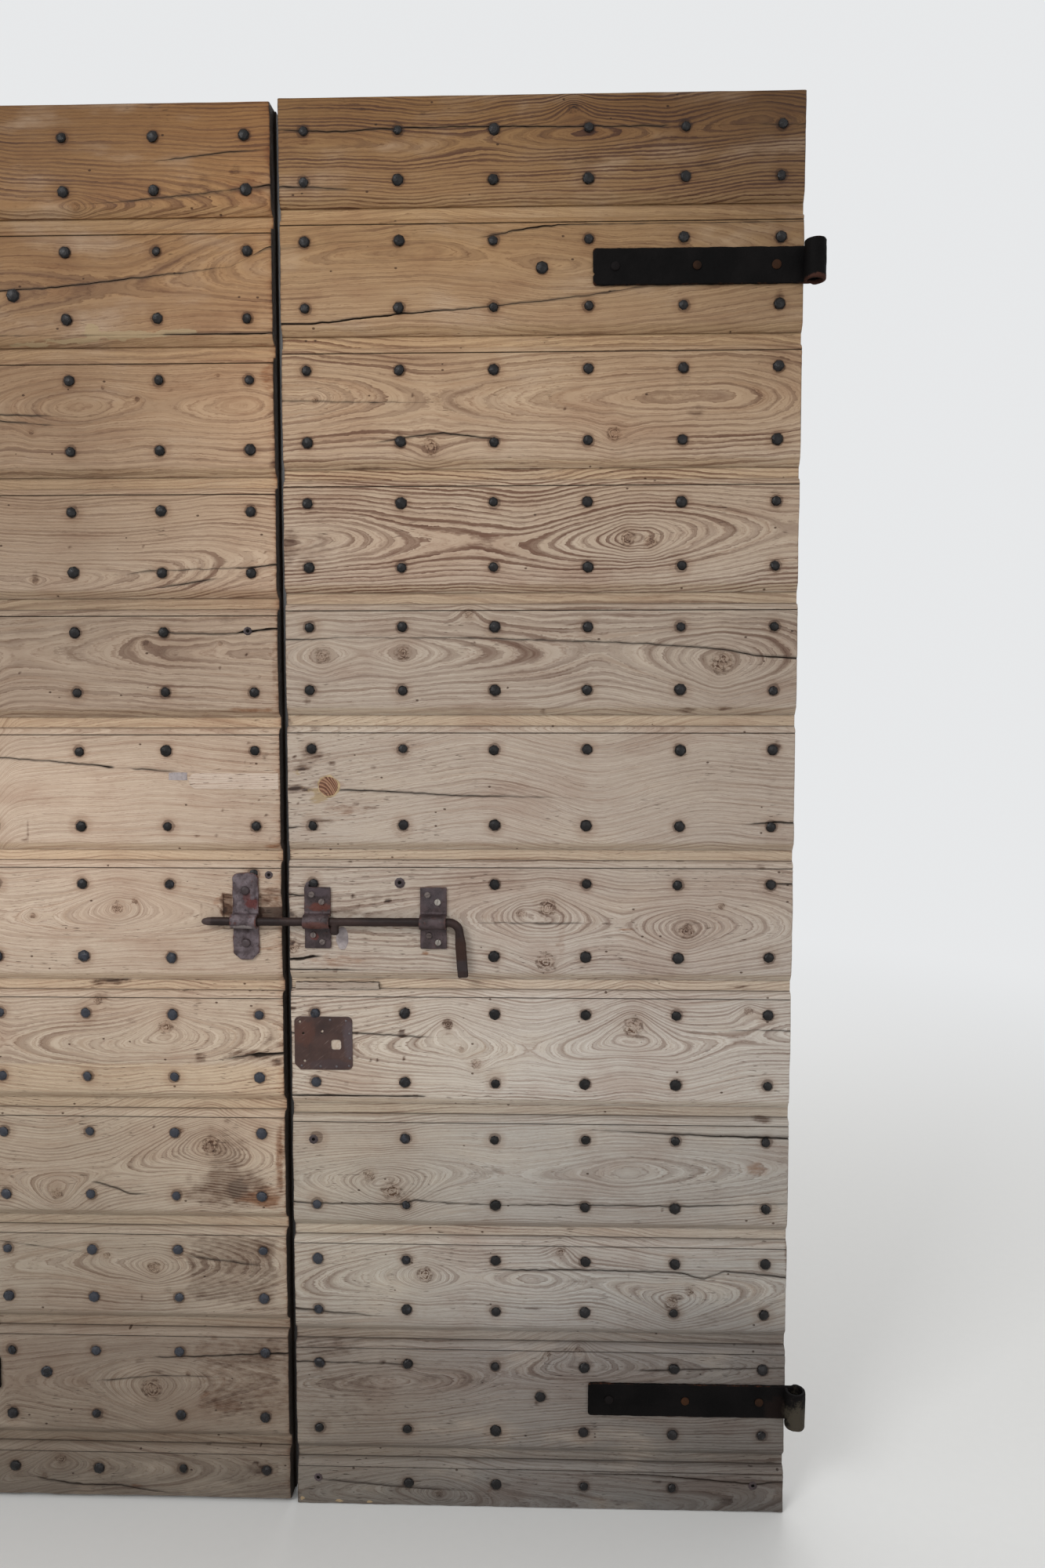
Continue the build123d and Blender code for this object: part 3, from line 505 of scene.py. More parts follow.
            (322, 724, 1.0), (340, 722, 1.0), (356, 719.5, 1.4)],
            [(180, 752, 0), (210, 749, 0.6), (265, 739.5, 0.6), (300, 735, 0)]],
        "stains": [(90, 699, 3, 3, 0.8, 0.1), (183, 698, 3, 3, 0.8, 0.1), (45, 735, 7, 12, 0.5, 0.1),
            (240, 750, 80, 6, 0.3, 0.3), (338, 704, 3, 3, 0.7, 0), (50, 768, 16, 4, 0.9, 0.1)],
    },
    "left_board_05": {
        "tone": 0.93, "ring": 8.4, "contrast": 0.6, "fleck": 0.3,
        "heart": [(0, 832, 44), (100, 831, 36), (166, 830, 27), (205, 834, 20), (245, 832, 16), (300, 833, 10),
            (358, 834, 7)],
        "knots": [(186, 820, 4, 6), (281, 821, 3, 5)],
        "cracks": [[(170, 808, 0), (204, 807, 0.6), (280, 809, 0.7), (302, 808, 0.5), (313, 805.5, 2.2),
            (330, 804, 1.4), (356, 801.5, 1.5)]],
        "stains": [(205, 832, 18, 12, 0.35, 0.15), (280, 852, 3, 4, 0.7, 0), (314, 835, 3, 3, 0.9, 0),
            (330, 863, 4, 3, 0.9, 0), (26, 858, 3, 3, 0.8, 0.1), (320, 906, 44, 5, 0.3, 0.6),
            (290, 790, 26, 8, 0.35, 0.1), (350, 850, 6, 50, 0.4, 0.4)],
    },
    "left_board_06": {
        "wormy": 0.7, "ring": 6.4, "contrast": 0.3, "fleck": 0.3,
        "heart": [(0, 880, 62), (200, 868, 70), (357, 880, 64)],
        "cracks": [[(0, 966.6, 0.6), (64, 970.7, 0.6), (120, 976, 0.9), (138, 978, 1.6), (146, 979, 0.2),
            (180, 981, 0.5), (212, 984, 0.6), (240, 985, 0)]],
        "stains": [(36, 1060, 3, 18, 0.6, 0.1), (31, 1072, 7, 3, 0.6, 0.3), (285, 1034, 4, 4, 0.7, 0.2),
            (330, 1020, 3, 3, 0.7, 0.3), (340, 1040, 3, 3, 0.9, 0), (276, 1066, 4, 4, 0.6, 0.2),
            (312, 973, 4, 4, 0.7, 0), (342, 974, 3, 3, 0.7, 0.2), (300, 1042, 9, 5, 0.3, 0.3),
            (200, 995, 24, 6, 0.25, 0), (345, 1080, 20, 3, 0.3, 0.7), (338, 966, 6, 6, 0.6, 0),
            (342, 960, 3, 3, 0.8, 0), (318, 947, 3, 3, 0.8, 0), (345, 1070, 5, 4, 0.5, 0),
            (251, 1066, 7, 3, 0.6, 0.4), (320, 1025, 6, 4, 0.4, 0.2)],
    },
    "left_board_07": {
        "wormy": 0.5, "ring": 5.2, "contrast": 0.42, "fleck": 0.5,
        "heart": [(0, 1166, 36), (80, 1166, 27), (150, 1160, 9), (230, 1165, 32), (358, 1165, 54)],
        "knots": [(150, 1158, 8, 14), (42, 1168, 4, 6), (172, 1149, 4, 5)],
        "stains": [(258, 1165, 1.5, 24, 0.7, 0), (144, 1158, 5, 7, 0.6, 0.3), (40, 1168, 6, 4, 0.6, 0),
            (186, 1167, 6, 4, 0.4, 0), (318, 1165, 60, 14, 0.1, 0.5), (278, 1150, 8, 10, 0.1, 0.5),
            (342, 1116, 6, 6, 0.8, 0.1), (343, 1190, 3, 3, 0.9, 0), (330, 1211, 60, 3, 0.2, 0.5),
            (100, 1232, 90, 5, 0.15, 0.3), (287, 1162, 5, 5, 1.0, 0.2), (338, 1152, 14, 5, 0.75, 0.2),
            (352, 1147, 8, 5, 0.2, 0.7), (40, 1145, 7, 7, 0.3, 0.1)],
        "squares": [(344, 1164.5, 20, 7.5, 1.3, 0), (344, 1146, 18, 16, 0.52, 0.42), (290, 1154, 9, 18, 0.72, 0.45)],
    },
    "left_board_08": {
        "wormy": 0.8, "ring": 5.2, "contrast": 0.55, "fleck": 0.6,
        "heart": [(0, 1330, 42), (80, 1330, 30), (150, 1332, 14), (205, 1322, 5), (260, 1326, 20), (358, 1320, 44)],
        "knots": [(212, 1310, 9, 14), (125, 1276, 6, 10)],
        "cracks": [[(0, 1355, 0.25), (240, 1354.5, 0.25), (280, 1352, 0.3), (318, 1346, 0.8), (330, 1345, 4.0),
            (338, 1345, 2.4), (362, 1344, 2.2)]],
        "stains": [(255, 1350, 12, 10, 0.6, 0), (320, 1346, 40, 10, 0.65, 0.1), (345, 1330, 20, 14, 0.4, 0),
            (130, 1272, 24, 8, 0.5, 0.3), (167, 1303, 10, 6, 0.4, 0.2), (352, 1355, 12, 4, 0.9, 0),
            (138, 1252, 26, 7, 0.9, 0.2), (157, 1249, 9, 8, 1.0, 0), (118, 1256, 12, 4, 0.8, 0)],
        "newBelow": (1357, 0.9),
    },
    "left_board_09": {
        "ring": 4.4, "contrast": 0.6, "fleck": 0.7,
        "heart": [(0, 1500, 42), (73, 1516, 20), (140, 1492, 36), (200, 1475, 20), (268, 1462, 4), (310, 1480, 17),
            (363, 1480, 36)],
        "knots": [(268, 1461, 13, 22), (73, 1522, 8, 10), (232, 1442, 3, 5)],
        "cracks": [[(110, 1506, 0), (126, 1508.6, 0.7), (150, 1516, 0.9), (164, 1522, 0.9), (195, 1524, 0.2),
            (240, 1526, 0)]],
        "stains": [(292, 1512, 62, 42, 0.66, 0.3), (290, 1476, 40, 60, 0.5, 0.2), (262, 1525, 50, 12, 0.5, 0.3),
            (357, 1480, 8, 70, 0.5, 0.6), (303, 1516, 28, 26, 0.8, 0.2), (335, 1530, 40, 16, 0.45, 0.7),
            (118, 1490, 5, 8, 0.4, 0), (40, 1477, 16, 5, 0.35, 0), (290, 1430, 6, 6, 0.6, 0.1),
            (196, 1437, 3, 3, 0.9, 0), (268, 1461, 14, 10, 0.3, 0), (340, 1520, 30, 14, 0.35, 0.5)],
    },
    "left_board_10": {
        "ring": 4.8, "contrast": 0.5, "fleck": 0.5,
        "heart": [(0, 1616, 36), (100, 1612, 26), (197, 1614, 5), (262, 1612, 27), (366, 1612, 54)],
        "knots": [(197, 1617, 8, 16), (136, 1602, 5, 5)],
        "cracks": [[(0, 1582, 0.4), (90, 1595, 0.4), (130, 1600, 0), (220, 1594, 0), (245, 1603, 0.5),
            (300, 1610, 0.5), (330, 1614.5, 0.4), (366, 1617, 0)]],
        "stains": [(280, 1600, 40, 26, 0.55, 0), (300, 1640, 60, 22, 0.4, 0), (181, 1654, 4, 5, 0.7, 0.1),
            (336, 1670, 80, 4, 0.5, 0.1), (214, 1646, 8, 8, 0.5, 0), (364, 1600, 5, 60, 0.3, 0.4)],
        "squares": [(297, 1620, 68, 52, 0.49, 0.05), (312, 1604, 44, 26, 0.58, 0)],
    },
    "left_board_11": {
        "ring": 5.4, "contrast": 0.42, "fleck": 0.7,
        "heart": [(0, 1760, 62), (130, 1762, 42), (194, 1770, 14), (260, 1762, 36), (366, 1760, 54)],
        "knots": [(194, 1773, 14, 12), (240, 1752, 3, 4)],
        "cracks": [[(170, 1732, 0), (204, 1731, 0.5), (257, 1730, 1.0), (300, 1728, 0.9), (364, 1726, 1.6)],
            [(110, 1762, 0), (136, 1760, 0.5), (204, 1754, 0.5), (257, 1756, 0.5), (300, 1757, 0)]],
        "stains": [(300, 1738, 60, 18, 0.5, 0.25), (330, 1765, 60, 20, 0.35, 0.35), (290, 1795, 40, 16, 0.1, 0.5),
            (200, 1750, 14, 4, 0.6, 0), (262, 1780, 12, 4, 0.4, 0.6), (140, 1750, 40, 16, 0.2, 0.2),
            (178, 1735, 10, 5, 0.5, 0.1), (352, 1712, 20, 10, 0.5, 0), (325, 1713, 7, 6, 0.4, 0),
            (300, 1790, 60, 30, 0.5, 0.3), (330, 1730, 56, 24, 0.55, 0.3)],
        "squares": [(315, 1755, 76, 60, 0.38, 0.36)],
    },
    "left_board_12": {
        "ring": 4.8, "contrast": 0.58, "fleck": 0.6,
        "heart": [(0, 1884, 16), (78, 1868, 9), (160, 1872, 27), (366, 1876, 54)],
        "knots": [(78, 1860, 8, 12), (57, 1882, 4, 5)],
        "cracks": [[(0, 1872, 0), (40, 1880, 0), (52, 1885, 0.7), (97, 1892.5, 1.3), (155, 1894.5, 1.1),
            (200, 1902, 0.5), (240, 1907, 0)]],
        "stains": [(330, 1874, 30, 8, 0.6, 0.1), (300, 1885, 40, 14, 0.35, 0), (327, 1866, 5, 3, 0.8, 0.3),
            (175, 1895, 14, 4, 0.2, 0.6), (210, 1860, 40, 12, 0.3, 0), (143, 1886, 3, 3, 0.8, 0),
            (320, 1895, 8, 3, 0.5, 0.4)],
    },
}


def softNoise(a, b, seed):
    # smooth noise from -1 to 1 over two arrays of numbers, the same on every run
    table = np.random.RandomState(seed).rand(256) * 2 - 1
    order = np.random.RandomState(seed + 991).permutation(256)
    a, b = np.broadcast_arrays(np.asarray(a, float), np.asarray(b, float))
    cellA, cellB = np.floor(a).astype(int), np.floor(b).astype(int)
    partA, partB = a - cellA, b - cellB
    partA, partB = partA * partA * (3 - 2 * partA), partB * partB * (3 - 2 * partB)

    def corner(i, j):
        return table[(order[(cellA + i) & 255] + cellB + j) & 255]

    low = corner(0, 0) * (1 - partA) + corner(1, 0) * partA
    high = corner(0, 1) * (1 - partA) + corner(1, 1) * partA
    return low * (1 - partB) + high * partB


def smoothLine(x, points, column, reach):
    # a line through points (x, ...) and the values in one of their columns, its corners rounded over the given reach
    fine = np.linspace(x.min() - reach, x.max() + reach, 600)
    values = np.interp(fine, [p[0] for p in points], [p[column] for p in points])
    width = max(1, int(reach / (fine[1] - fine[0])))
    window = np.hanning(2 * width + 3)[1:-1]
    values = np.convolve(np.pad(values, width, mode="edge"), window / window.sum(), mode="valid")
    return np.interp(x.ravel(), fine, values).reshape(x.shape)


def nailPlaces(node):
    # the points of the heads, in the node's own mesh
    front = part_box(node)[0].y
    return sorted({(round(v.co.x, 4), round(v.co.z, 4)) for v in nodes[node].data.vertices if v.co.y < front + 0.0002})


nailSpots = {"right": nailPlaces("right_face_nails"), "left": nailPlaces("left_face_nails")}
stapleLow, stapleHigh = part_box("bolt_staple")
stapledNail = (stapleHigh.x - 0.008, stapleHigh.z - 0.002)  # its point is under the staple

# Section of a board, fineness of its mesh, the sunk place for the old latch, and wear; metres
profile = {"bevelHeight": 0.011, "bead": 0.009, "quirk": 0.002, "tongue": 0.029, "shoulder": 0.0125,
           "thickness": 0.027, "firmEdge": 0.0012}
# worn lip, upwards: depth behind the face, height above the lip, shares of wear (y, z) and wander, and how pale: worn
# wood with a painted highlight
lipRows = ((0.0089, 0.0001, 0, 0, 0, 0), (0.0078, 0.0006, 0.5, 1, 0, 0.5), (0.0052, 0.0036, 0.4, 0, 1, 0.7),
           (0.0024, 0.0071, 0.3, 0, 1, 0.7))
bandRows = (0.002, 0.007, 0.012, 0.0165)
meshing = {"along": 0.005, "across": 0.0042, "alongHidden": 0.012, "hiddenPast": -0.44, "endRound": 0.0011,
           "beadSteps": 6, "latchEdge": 0.0005}
latch = {"board": "left_board_07", "left": -0.094, "low": 0.903, "high": 0.955, "depth": 0.0025}
crackLook = {"depthShare": 4.5, "deepest": 0.0055, "openFrom": 0.0003, "apart": 0.003, "sideDark": 0.4}
boardWear = {"meetingDark": 0.6, "meetingRust": {"left": 0.5, "right": 0.3}, "outerDark": 0.35, "outerEdge": 0.755,
             "gapEdge": 0.005, "nailSize": 0.0085, "markReach": 4.5, "outerEnd": 0.62}
# noise that bends the rings, in mm, and how a knot pushes them aside, in its own radii
ringBend = {"wide": 4, "narrow": 1.1, "deep": 2.5, "knotLong": 1.7, "knotPush": 0.85, "knotHigh": 3.2,
            "knotOval": 1.35, "knotReach": 2.6}
# worn ends of the boards, in m: least and uneven wear, the share of a board's own at either end, how far in along the
# board and how deep behind the face it reaches, over what depth it fades, and the width of the rounding
endWear = {"least": 0.0003, "uneven": 0.0005, "shorter": (0.0008, 0.0010), "inward": 0.03, "deep": 0.013,
           "fade": 0.009, "edge": 0.0014}
# shade under the lintel at the hinge side and low down: strength, share of the height, x where it starts, its width
lintelShade = {"least": 0.06, "most": 0.16, "from": 0.78, "over": 0.2, "x": 0.25, "width": 0.45, "bend": 1.3}
footShade = {"most": 0.10, "below": 0.22, "over": 0.1, "x": 0.4, "width": 0.3}
# how light the left leaf is away from the gap, by height from the ground up
farLeftTone = ((0, 0.1, 0.2, 0.3, 0.38, 0.46, 0.54, 0.6, 0.7, 0.8, 0.9, 1.0),
               (1.0, 0.96, 0.90, 0.90, 0.99, 1.08, 1.07, 0.92, 0.86, 0.82, 0.88, 0.86))


def columnsOf(x0, x1, extra):
    # places along a board: close together at the ends, wide apart where the photograph doesn't reach
    places = [x0, x0 + 0.0012, x0 + 0.003, x1 - 0.003, x1 - 0.0012, x1]
    at = x0 + 0.006
    while at < x1 - 0.005:
        places.append(at)
        at += meshing["alongHidden"] if at < meshing["hiddenPast"] else meshing["along"]
    keep = [p for p in places if all(abs(p - e) > 0.001 for e in extra)]
    return np.array(sorted(keep + list(extra)))


def crackLine(points, x, low, high, seed):
    # heights and half widths of one crack at the columns
    placed = sorted((*onFace(u, v), w) for u, v, w in points)
    places, heights, widths = zip(*placed)
    height = np.interp(x, places, heights)
    height = height + softNoise(x / 0.011, 0, seed) * 0.0007 + softNoise(x / 0.004, 0, seed + 1) * 0.0003
    width = np.interp(x, places, widths)
    width = width ** 1.35 * (1.1 + 0.8 * softNoise(x / 0.02, 0, seed + 2) ** 2) * mm
    return np.clip(height, low + 0.002, high - 0.002), width / 2


def growth(x, y, z, ring, spots, seed):
    # ring number at each point: distance from the tree's heart, pushed aside round the knots
    across = (z - smoothLine(x, spots["heart"], 1, 0.05)) / mm
    deep = smoothLine(x, spots["heart"], 2, 0.045)
    across = across + softNoise(x / 0.12, z / 0.05, seed) * ringBend["wide"]
    across = across + softNoise(x / 0.035, z / 0.012, seed + 3) * ringBend["narrow"]
    deep = deep + softNoise(x / 0.09, z / 0.09, seed + 7) * ringBend["deep"] + (y - faceY) / mm
    swell = 0
    for kx, kz, radius, bulge in spots["knots"]:
        du = (x - kx) / mm / (radius * ringBend["knotLong"])
        dv = (z - kz) / mm
        near = np.exp(-du * du - np.abs(dv) / (radius * ringBend["knotHigh"]))
        across = across - np.tanh(dv / radius * 1.4) * radius * ringBend["knotPush"] * near
        away = ((x - kx) / mm / ringBend["knotOval"]) ** 2 + dv ** 2
        swell = swell + bulge * np.exp(-away / (radius * ringBend["knotReach"]) ** 2)
    return (np.sqrt(across ** 2 + deep ** 2) - swell) / ring


def nearestMark(x, z, marks):
    # offset to the nearest mark in units of its size, and its strength, 0 where none is near or two are as near
    best, second = np.full(x.shape, 99.0), np.full(x.shape, 99.0)
    offset = [np.full(x.shape, 9.0), np.full(x.shape, 9.0)]
    for mx, mz, size in marks:
        du, dv = (x - mx) / size, (z - mz) / size
        away = np.hypot(du, dv)
        nearer = away < best
        second = np.where(nearer, best, np.minimum(second, away))
        best = np.where(nearer, away, best)
        offset = [np.where(nearer, du, offset[0]), np.where(nearer, dv, offset[1])]
    strength = np.clip(boardWear["markReach"] - best, 0, 1) * np.clip((second - best) * 1.2, 0, 1)
    return (*offset, strength)


def stainAt(x, z, stains, seed, square=False):
    # how dark and how rusty each point is, from round spots or squarish ones
    power, uneven = (7, 0.1) if square else (2, 0.3)
    dark, rust = np.zeros(x.shape), np.zeros(x.shape)
    for i, (u, v, halfWidth, halfHeight, darkShare, rustShare) in enumerate(stains):
        sx, sz = onFace(u, v)
        away = np.abs((x - sx) / mm / halfWidth) ** power + np.abs((z - sz) / mm / halfHeight) ** power
        away = away ** (1 / power) + softNoise(x / 0.012, z / 0.005, seed + i) * uneven
        spot = np.clip((1.2 - away) * 4, 0, 1) if square else np.clip(1.5 - away, 0, 1) ** 1.2
        dark = np.maximum(dark, spot * darkShare)
        rust = np.maximum(rust, spot * rustShare)
    return dark, rust


def giveAttributes(mesh, values):
    # each name has three values or arrays, kept as a vector on the points
    for name, parts in values.items():
        layer = mesh.attributes.new(name, "FLOAT_VECTOR", "POINT")
        parts = np.broadcast_arrays(np.zeros(len(mesh.vertices)), *(np.ravel(part) + 0.0 for part in parts))[1:]
        layer.data.foreach_set("vector", np.stack(parts, 1).ravel())


def finishShape(piece, sharpAngle):
    piece.data.shade_smooth()
    piece.data.set_sharp_from_angle(angle=math.radians(sharpAngle))
    piece.data.update()
    return piece


def sweptPiece(name, xs, ys, zs, material):
    # a closed bar from rows of points round its section: its skin and its two ends
    rows, columns = xs.shape
    faces = []
    for i in range(rows):
        a, b = i * columns, (i + 1) % rows * columns
        faces += [(a + j, a + j + 1, b + j + 1, b + j) for j in range(columns - 1)]
    faces.append(tuple(i * columns for i in range(rows)))
    faces.append(tuple(i * columns + columns - 1 for i in reversed(range(rows))))
    return newMesh(name, np.stack([xs, ys, zs], 2).reshape(-1, 3).tolist(), faces, material)


def boardRows(node, low, high, x, seed):
    # rows of the section along x, from the back over the lip, the face and the bead to the band: y, z, crack, clean
    look = boardLooks[node]
    isTop, isBottom, isLatched = node.endswith("01"), node.endswith("12"), node == latch["board"]
    top = high.z if isTop else high.z - profile["tongue"]
    flat = np.zeros(len(x))
    wander = softNoise(x / 0.06, 0, seed) * 0.0005 + softNoise(x / 0.015, 0, seed + 1) * 0.0003
    worn = 0.0006 + 0.0006 * softNoise(x / 0.03, 0, seed + 2)
    rows = []

    def addRow(y, z, creviceDirtAndShade=0, cleanAndHighlight=0):
        rows.append([value + flat for value in (y, z, creviceDirtAndShade, cleanAndHighlight)])

    back = faceY + profile["thickness"]
    if isBottom:
        shoulderZ = low.z
        faceLow = low.z + profile["firmEdge"] + np.abs(wander) * 2
        addRow(back, low.z)
        addRow(faceY + 0.004, low.z + np.abs(wander))
        addRow(faceY + profile["firmEdge"], faceLow - 0.0008)
    else:
        shoulderZ = low.z + profile["shoulder"]
        faceLow = low.z + profile["bevelHeight"] + np.abs(wander)
        addRow(back, shoulderZ)
        addRow(bandY, shoulderZ)
        addRow(bandY, low.z)
        for deep, up, wornY, wornZ, wanderZ, cleanAndHighlight in lipRows:
            addRow(faceY + deep + worn * wornY, low.z + up + worn * wornZ + wander * wanderZ, 0, cleanAndHighlight)
        addRow(faceY + 0.0007, faceLow - profile["firmEdge"], 0, 0.4)
    quirkTop = top - profile["bead"]
    faceHigh = (top - profile["firmEdge"] if isTop else quirkTop - profile["quirk"]) - np.abs(wander) * 0.6
    addRow(faceY, faceLow, 0, 0.15)

    # cracks and the edges of the latch's place split the face into strips, from the lowest to the highest
    lines = [crackLine(points, x, faceLow, faceHigh, seed + 5 * i) for i, points in enumerate(look.get("cracks", []))]
    if isLatched:
        lines += [(flat + latch[edge] + side * 0.0004, None) for edge in ("low", "high") for side in (-1, 1)]
    lines.sort(key=lambda line: line[0].mean())
    below = faceLow
    for height, halfWidth in lines + [(faceHigh, None)]:
        if height is not faceHigh:
            height = np.maximum(height, below + (0.0008 if halfWidth is None else crackLook["apart"]))
        count = max(1, int(round(float((height - below).mean()) / meshing["across"])))
        for k in range(1, count):
            addRow(faceY, below + (height - below) * k / count)
        if halfWidth is None:
            addRow(faceY, height)
        else:
            aside = np.maximum(halfWidth, 0.0001)
            deep = np.minimum(halfWidth * crackLook["depthShare"], crackLook["deepest"])
            isOpen = np.clip(halfWidth / crackLook["openFrom"], 0, 1)
            addRow(faceY + isOpen * 0.0001, height - aside, isOpen * crackLook["sideDark"])
            addRow(faceY + deep, height, isOpen)
            addRow(faceY + isOpen * 0.0001, height + aside, isOpen * crackLook["sideDark"])
        below = height

    if isTop:
        addRow(faceY + profile["firmEdge"], top - worn * 0.3)
        addRow(back, top)
    else:
        # the quirk and the corner under the bead are darkened through the crack value: painted shade in the creases
        addRow(faceY + profile["quirk"], quirkTop - profile["quirk"] * 0.5, 0.6)
        addRow(faceY + 0.0003, quirkTop, 0.1)
        for k in range(1, meshing["beadSteps"] + 1):
            angle = math.pi / 2 * k / meshing["beadSteps"]
            turnY, turnZ = profile["bead"] * (1 - math.cos(angle)), profile["bead"] * math.sin(angle)
            addRow(faceY + turnY + worn * 0.3, quirkTop + turnZ - 0.0002, 0, 0.1)
        addRow(bandY, top, 0.45, 0.5)
        for up in bandRows:
            addRow(bandY, top + up, 0, 1)
        addRow(bandY, high.z)
        addRow(back, high.z)
    addRow(back, (shoulderZ + high.z) / 2)
    return (np.array([row[i] for row in rows]) for i in range(4))


def weatherEnds(xs, ys, zs, low, high, index, seed):
    # the weather has left the ends uneven and their edges round; the rear of the boards meets as sawn
    front = np.clip((bandY + 0.001 - ys) / 0.002, 0, 1)
    own = (abs(softNoise(index * 0.7, 3.1, 5)), abs(softNoise(index * 0.9, 1.7, 6)))
    for end, (edge, way) in enumerate(((low.x, 1), (high.x, -1))):
        away = np.abs(xs - edge)
        ragged = endWear["least"] + endWear["uneven"] * softNoise(zs / 0.03, end, seed + 8)
        ragged = ragged + own[end] * endWear["shorter"][end]
        ragged = ragged + endWear["uneven"] * np.abs(softNoise(zs / 0.006, end, seed + 9))
        ragged = ragged * np.clip((faceY + endWear["deep"] - ys) / endWear["fade"], 0, 1)
        xs = xs + way * ragged * np.clip(1 - away / endWear["inward"], 0, 1)
        ys = ys + front * meshing["endRound"] * np.clip(1 - away / endWear["edge"], 0, 1)
    return xs, ys


def growthSpots(look, side, middle, seed):
    # the board's hearts and knots on the face, with plain ones in the half that the photograph leaves out
    hearts = [(*onFace(u, v), d) for u, v, d in look["heart"]]
    knots = [(*onFace(u, v), r, bulge) for u, v, r, bulge in look.get("knots", [])]
    if side == "left":
        luck = np.random.RandomState(seed)
        hearts += [(-0.42 - 0.09 * k, middle + luck.uniform(-0.05, 0.05), luck.uniform(8, 50)) for k in range(1, 5)]
        knots.append((luck.uniform(-0.7, -0.45), middle + luck.uniform(-0.05, 0.05), luck.uniform(6, 12),
                      luck.uniform(8, 16)))
    return {"heart": sorted(hearts), "knots": knots}


def boardToneAndShade(look, side, xs, tall, index):
    # the board's own tone, with painted shade under the lintel and low down at the hinge side, and the left leaf by
    # its own measure
    top, foot = lintelShade, footShade
    tone = 1 + softNoise(index * 0.83, 0.4, 12) * 0.03
    shade = top["least"] + top["most"] * np.clip((tall - top["from"]) / top["over"], 0, 1)
    tone = tone - shade * np.clip((xs - top["x"]) / top["width"], 0, 1) ** top["bend"]
    shade = foot["most"] * np.clip((foot["below"] - tall) / foot["over"], 0, 1)
    tone = tone - shade * np.clip((xs - foot["x"]) / foot["width"], 0, 1)
    if side == "left":
        tone = tone * (1 + (np.interp(tall, *farLeftTone) - 1) * np.clip((-0.02 - xs) / 0.28, 0, 1))
    return (tone * look.get("tone", 1)) ** 2.2


def makeBoard(node, index):
    side, number = node.split("_board_")
    look = boardLooks[node]
    low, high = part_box(node)
    seed = 40 + index * 17
    isLatched = node == latch["board"]
    extra = [latch["left"] - meshing["latchEdge"], latch["left"] + meshing["latchEdge"]] if isLatched else []
    x = columnsOf(low.x, high.x, extra)
    # the third channel darkens the cracks with dirt and painted shade, and the quirk and the corner under the bead
    # with painted shade
    ys, zs, cracks, cleanAndHighlight = boardRows(node, low, high, x, seed)
    xs = np.tile(x, (len(ys), 1))
    if isLatched:
        inside = (xs > latch["left"]) & (zs > latch["low"]) & (zs < latch["high"]) & (ys < faceY + 0.001)
        ys = np.where(inside, faceY + latch["depth"] + softNoise(xs / 0.01, zs / 0.004, seed) * 0.0004, ys)
    xs, ys = weatherEnds(xs, ys, zs, low, high, index, seed)

    middle = (low.z + high.z - (0 if number == "01" else profile["tongue"])) / 2
    spots = growthSpots(look, side, middle, seed)
    rings = growth(xs, ys, zs, look["ring"], spots, seed)
    knots = nearestMark(xs, zs, [(kx, kz, r * 1.2 * mm) for kx, kz, r, _ in spots["knots"]])
    nails = nailSpots[side] + ([stapledNail] if side == "left" else [])
    nails = nearestMark(xs, zs, [(*nail, boardWear["nailSize"]) for nail in nails])

    dark, rust = np.maximum(stainAt(xs, zs, look.get("stains", []), seed),
                            stainAt(xs, zs, look.get("squares", []), seed, square=True))
    meeting = np.abs(xs) - boardWear["gapEdge"]
    outer = boardWear["outerEdge"] - np.abs(xs)
    uneven = 0.5 + 0.5 * softNoise(xs / 0.02, zs / 0.012, seed + 4)
    dark = np.maximum(dark, np.exp(-meeting / (0.002 + 0.006 * uneven)) * boardWear["meetingDark"])
    rust = np.maximum(rust, np.exp(-meeting / (0.01 + 0.025 * uneven)) * boardWear["meetingRust"][side])
    dark = np.maximum(dark, np.exp(-outer / 0.003) * boardWear["outerDark"])
    fleck = look["fleck"] * (0.6 + 0.4 * softNoise(xs / 0.1, zs / 0.05, seed + 6))
    fleck = fleck + look.get("wormy", 0) * np.exp(-meeting / 0.07)
    if "newBelow" in look:  # a newer strip let in along the lip
        v, share = look["newBelow"]
        cleanAndHighlight = np.maximum(cleanAndHighlight, np.clip((onFace(200, v)[1] - zs) / 0.0015, 0, 1) * share)
    paint = np.zeros(xs.shape)
    for u, v, w, h, share in look.get("paint", []):
        px, pz = onFace(u, v)
        away = np.hypot((xs - px) / mm / w, (zs - pz) / mm / h) + softNoise(xs / 0.015, zs / 0.004, seed + 9) * 0.4
        paint = np.maximum(paint, np.clip(1.4 - away, 0, 1) * share)
    contrast = look["contrast"] * (0.92 if int(number) < 6 else 0.78)
    contrast = contrast * (1 + 0.45 * softNoise(xs / 0.16, zs / 0.07, seed + 14))
    tall = zs / doorHeight
    warm = 0.85 if side == "left" else -np.clip((0.5 - tall) / 0.2, 0, 1) * np.clip((xs - 0.08) / 0.3, 0, 1)
    ends = np.zeros(xs.shape)
    ends[:, 0], ends[:, -1] = (1, boardWear["outerEnd"]) if side == "right" else (boardWear["outerEnd"], 1)

    piece = sweptPiece(node.replace("_board_", "Board"), xs, ys, zs, pine)
    giveAttributes(piece.data, {"grain": (rings, xs, contrast), "knot": knots, "nail": nails,
                                "wear": (dark, rust, cracks), "cover": (cleanAndHighlight, paint, ends),
                                "zone": (boardToneAndShade(look, side, xs, tall, index), fleck, index),
                                "warmth": (warm, 0, 0)})
    finishShape(piece, 38)
    return seat(piece, "board_pine", node)


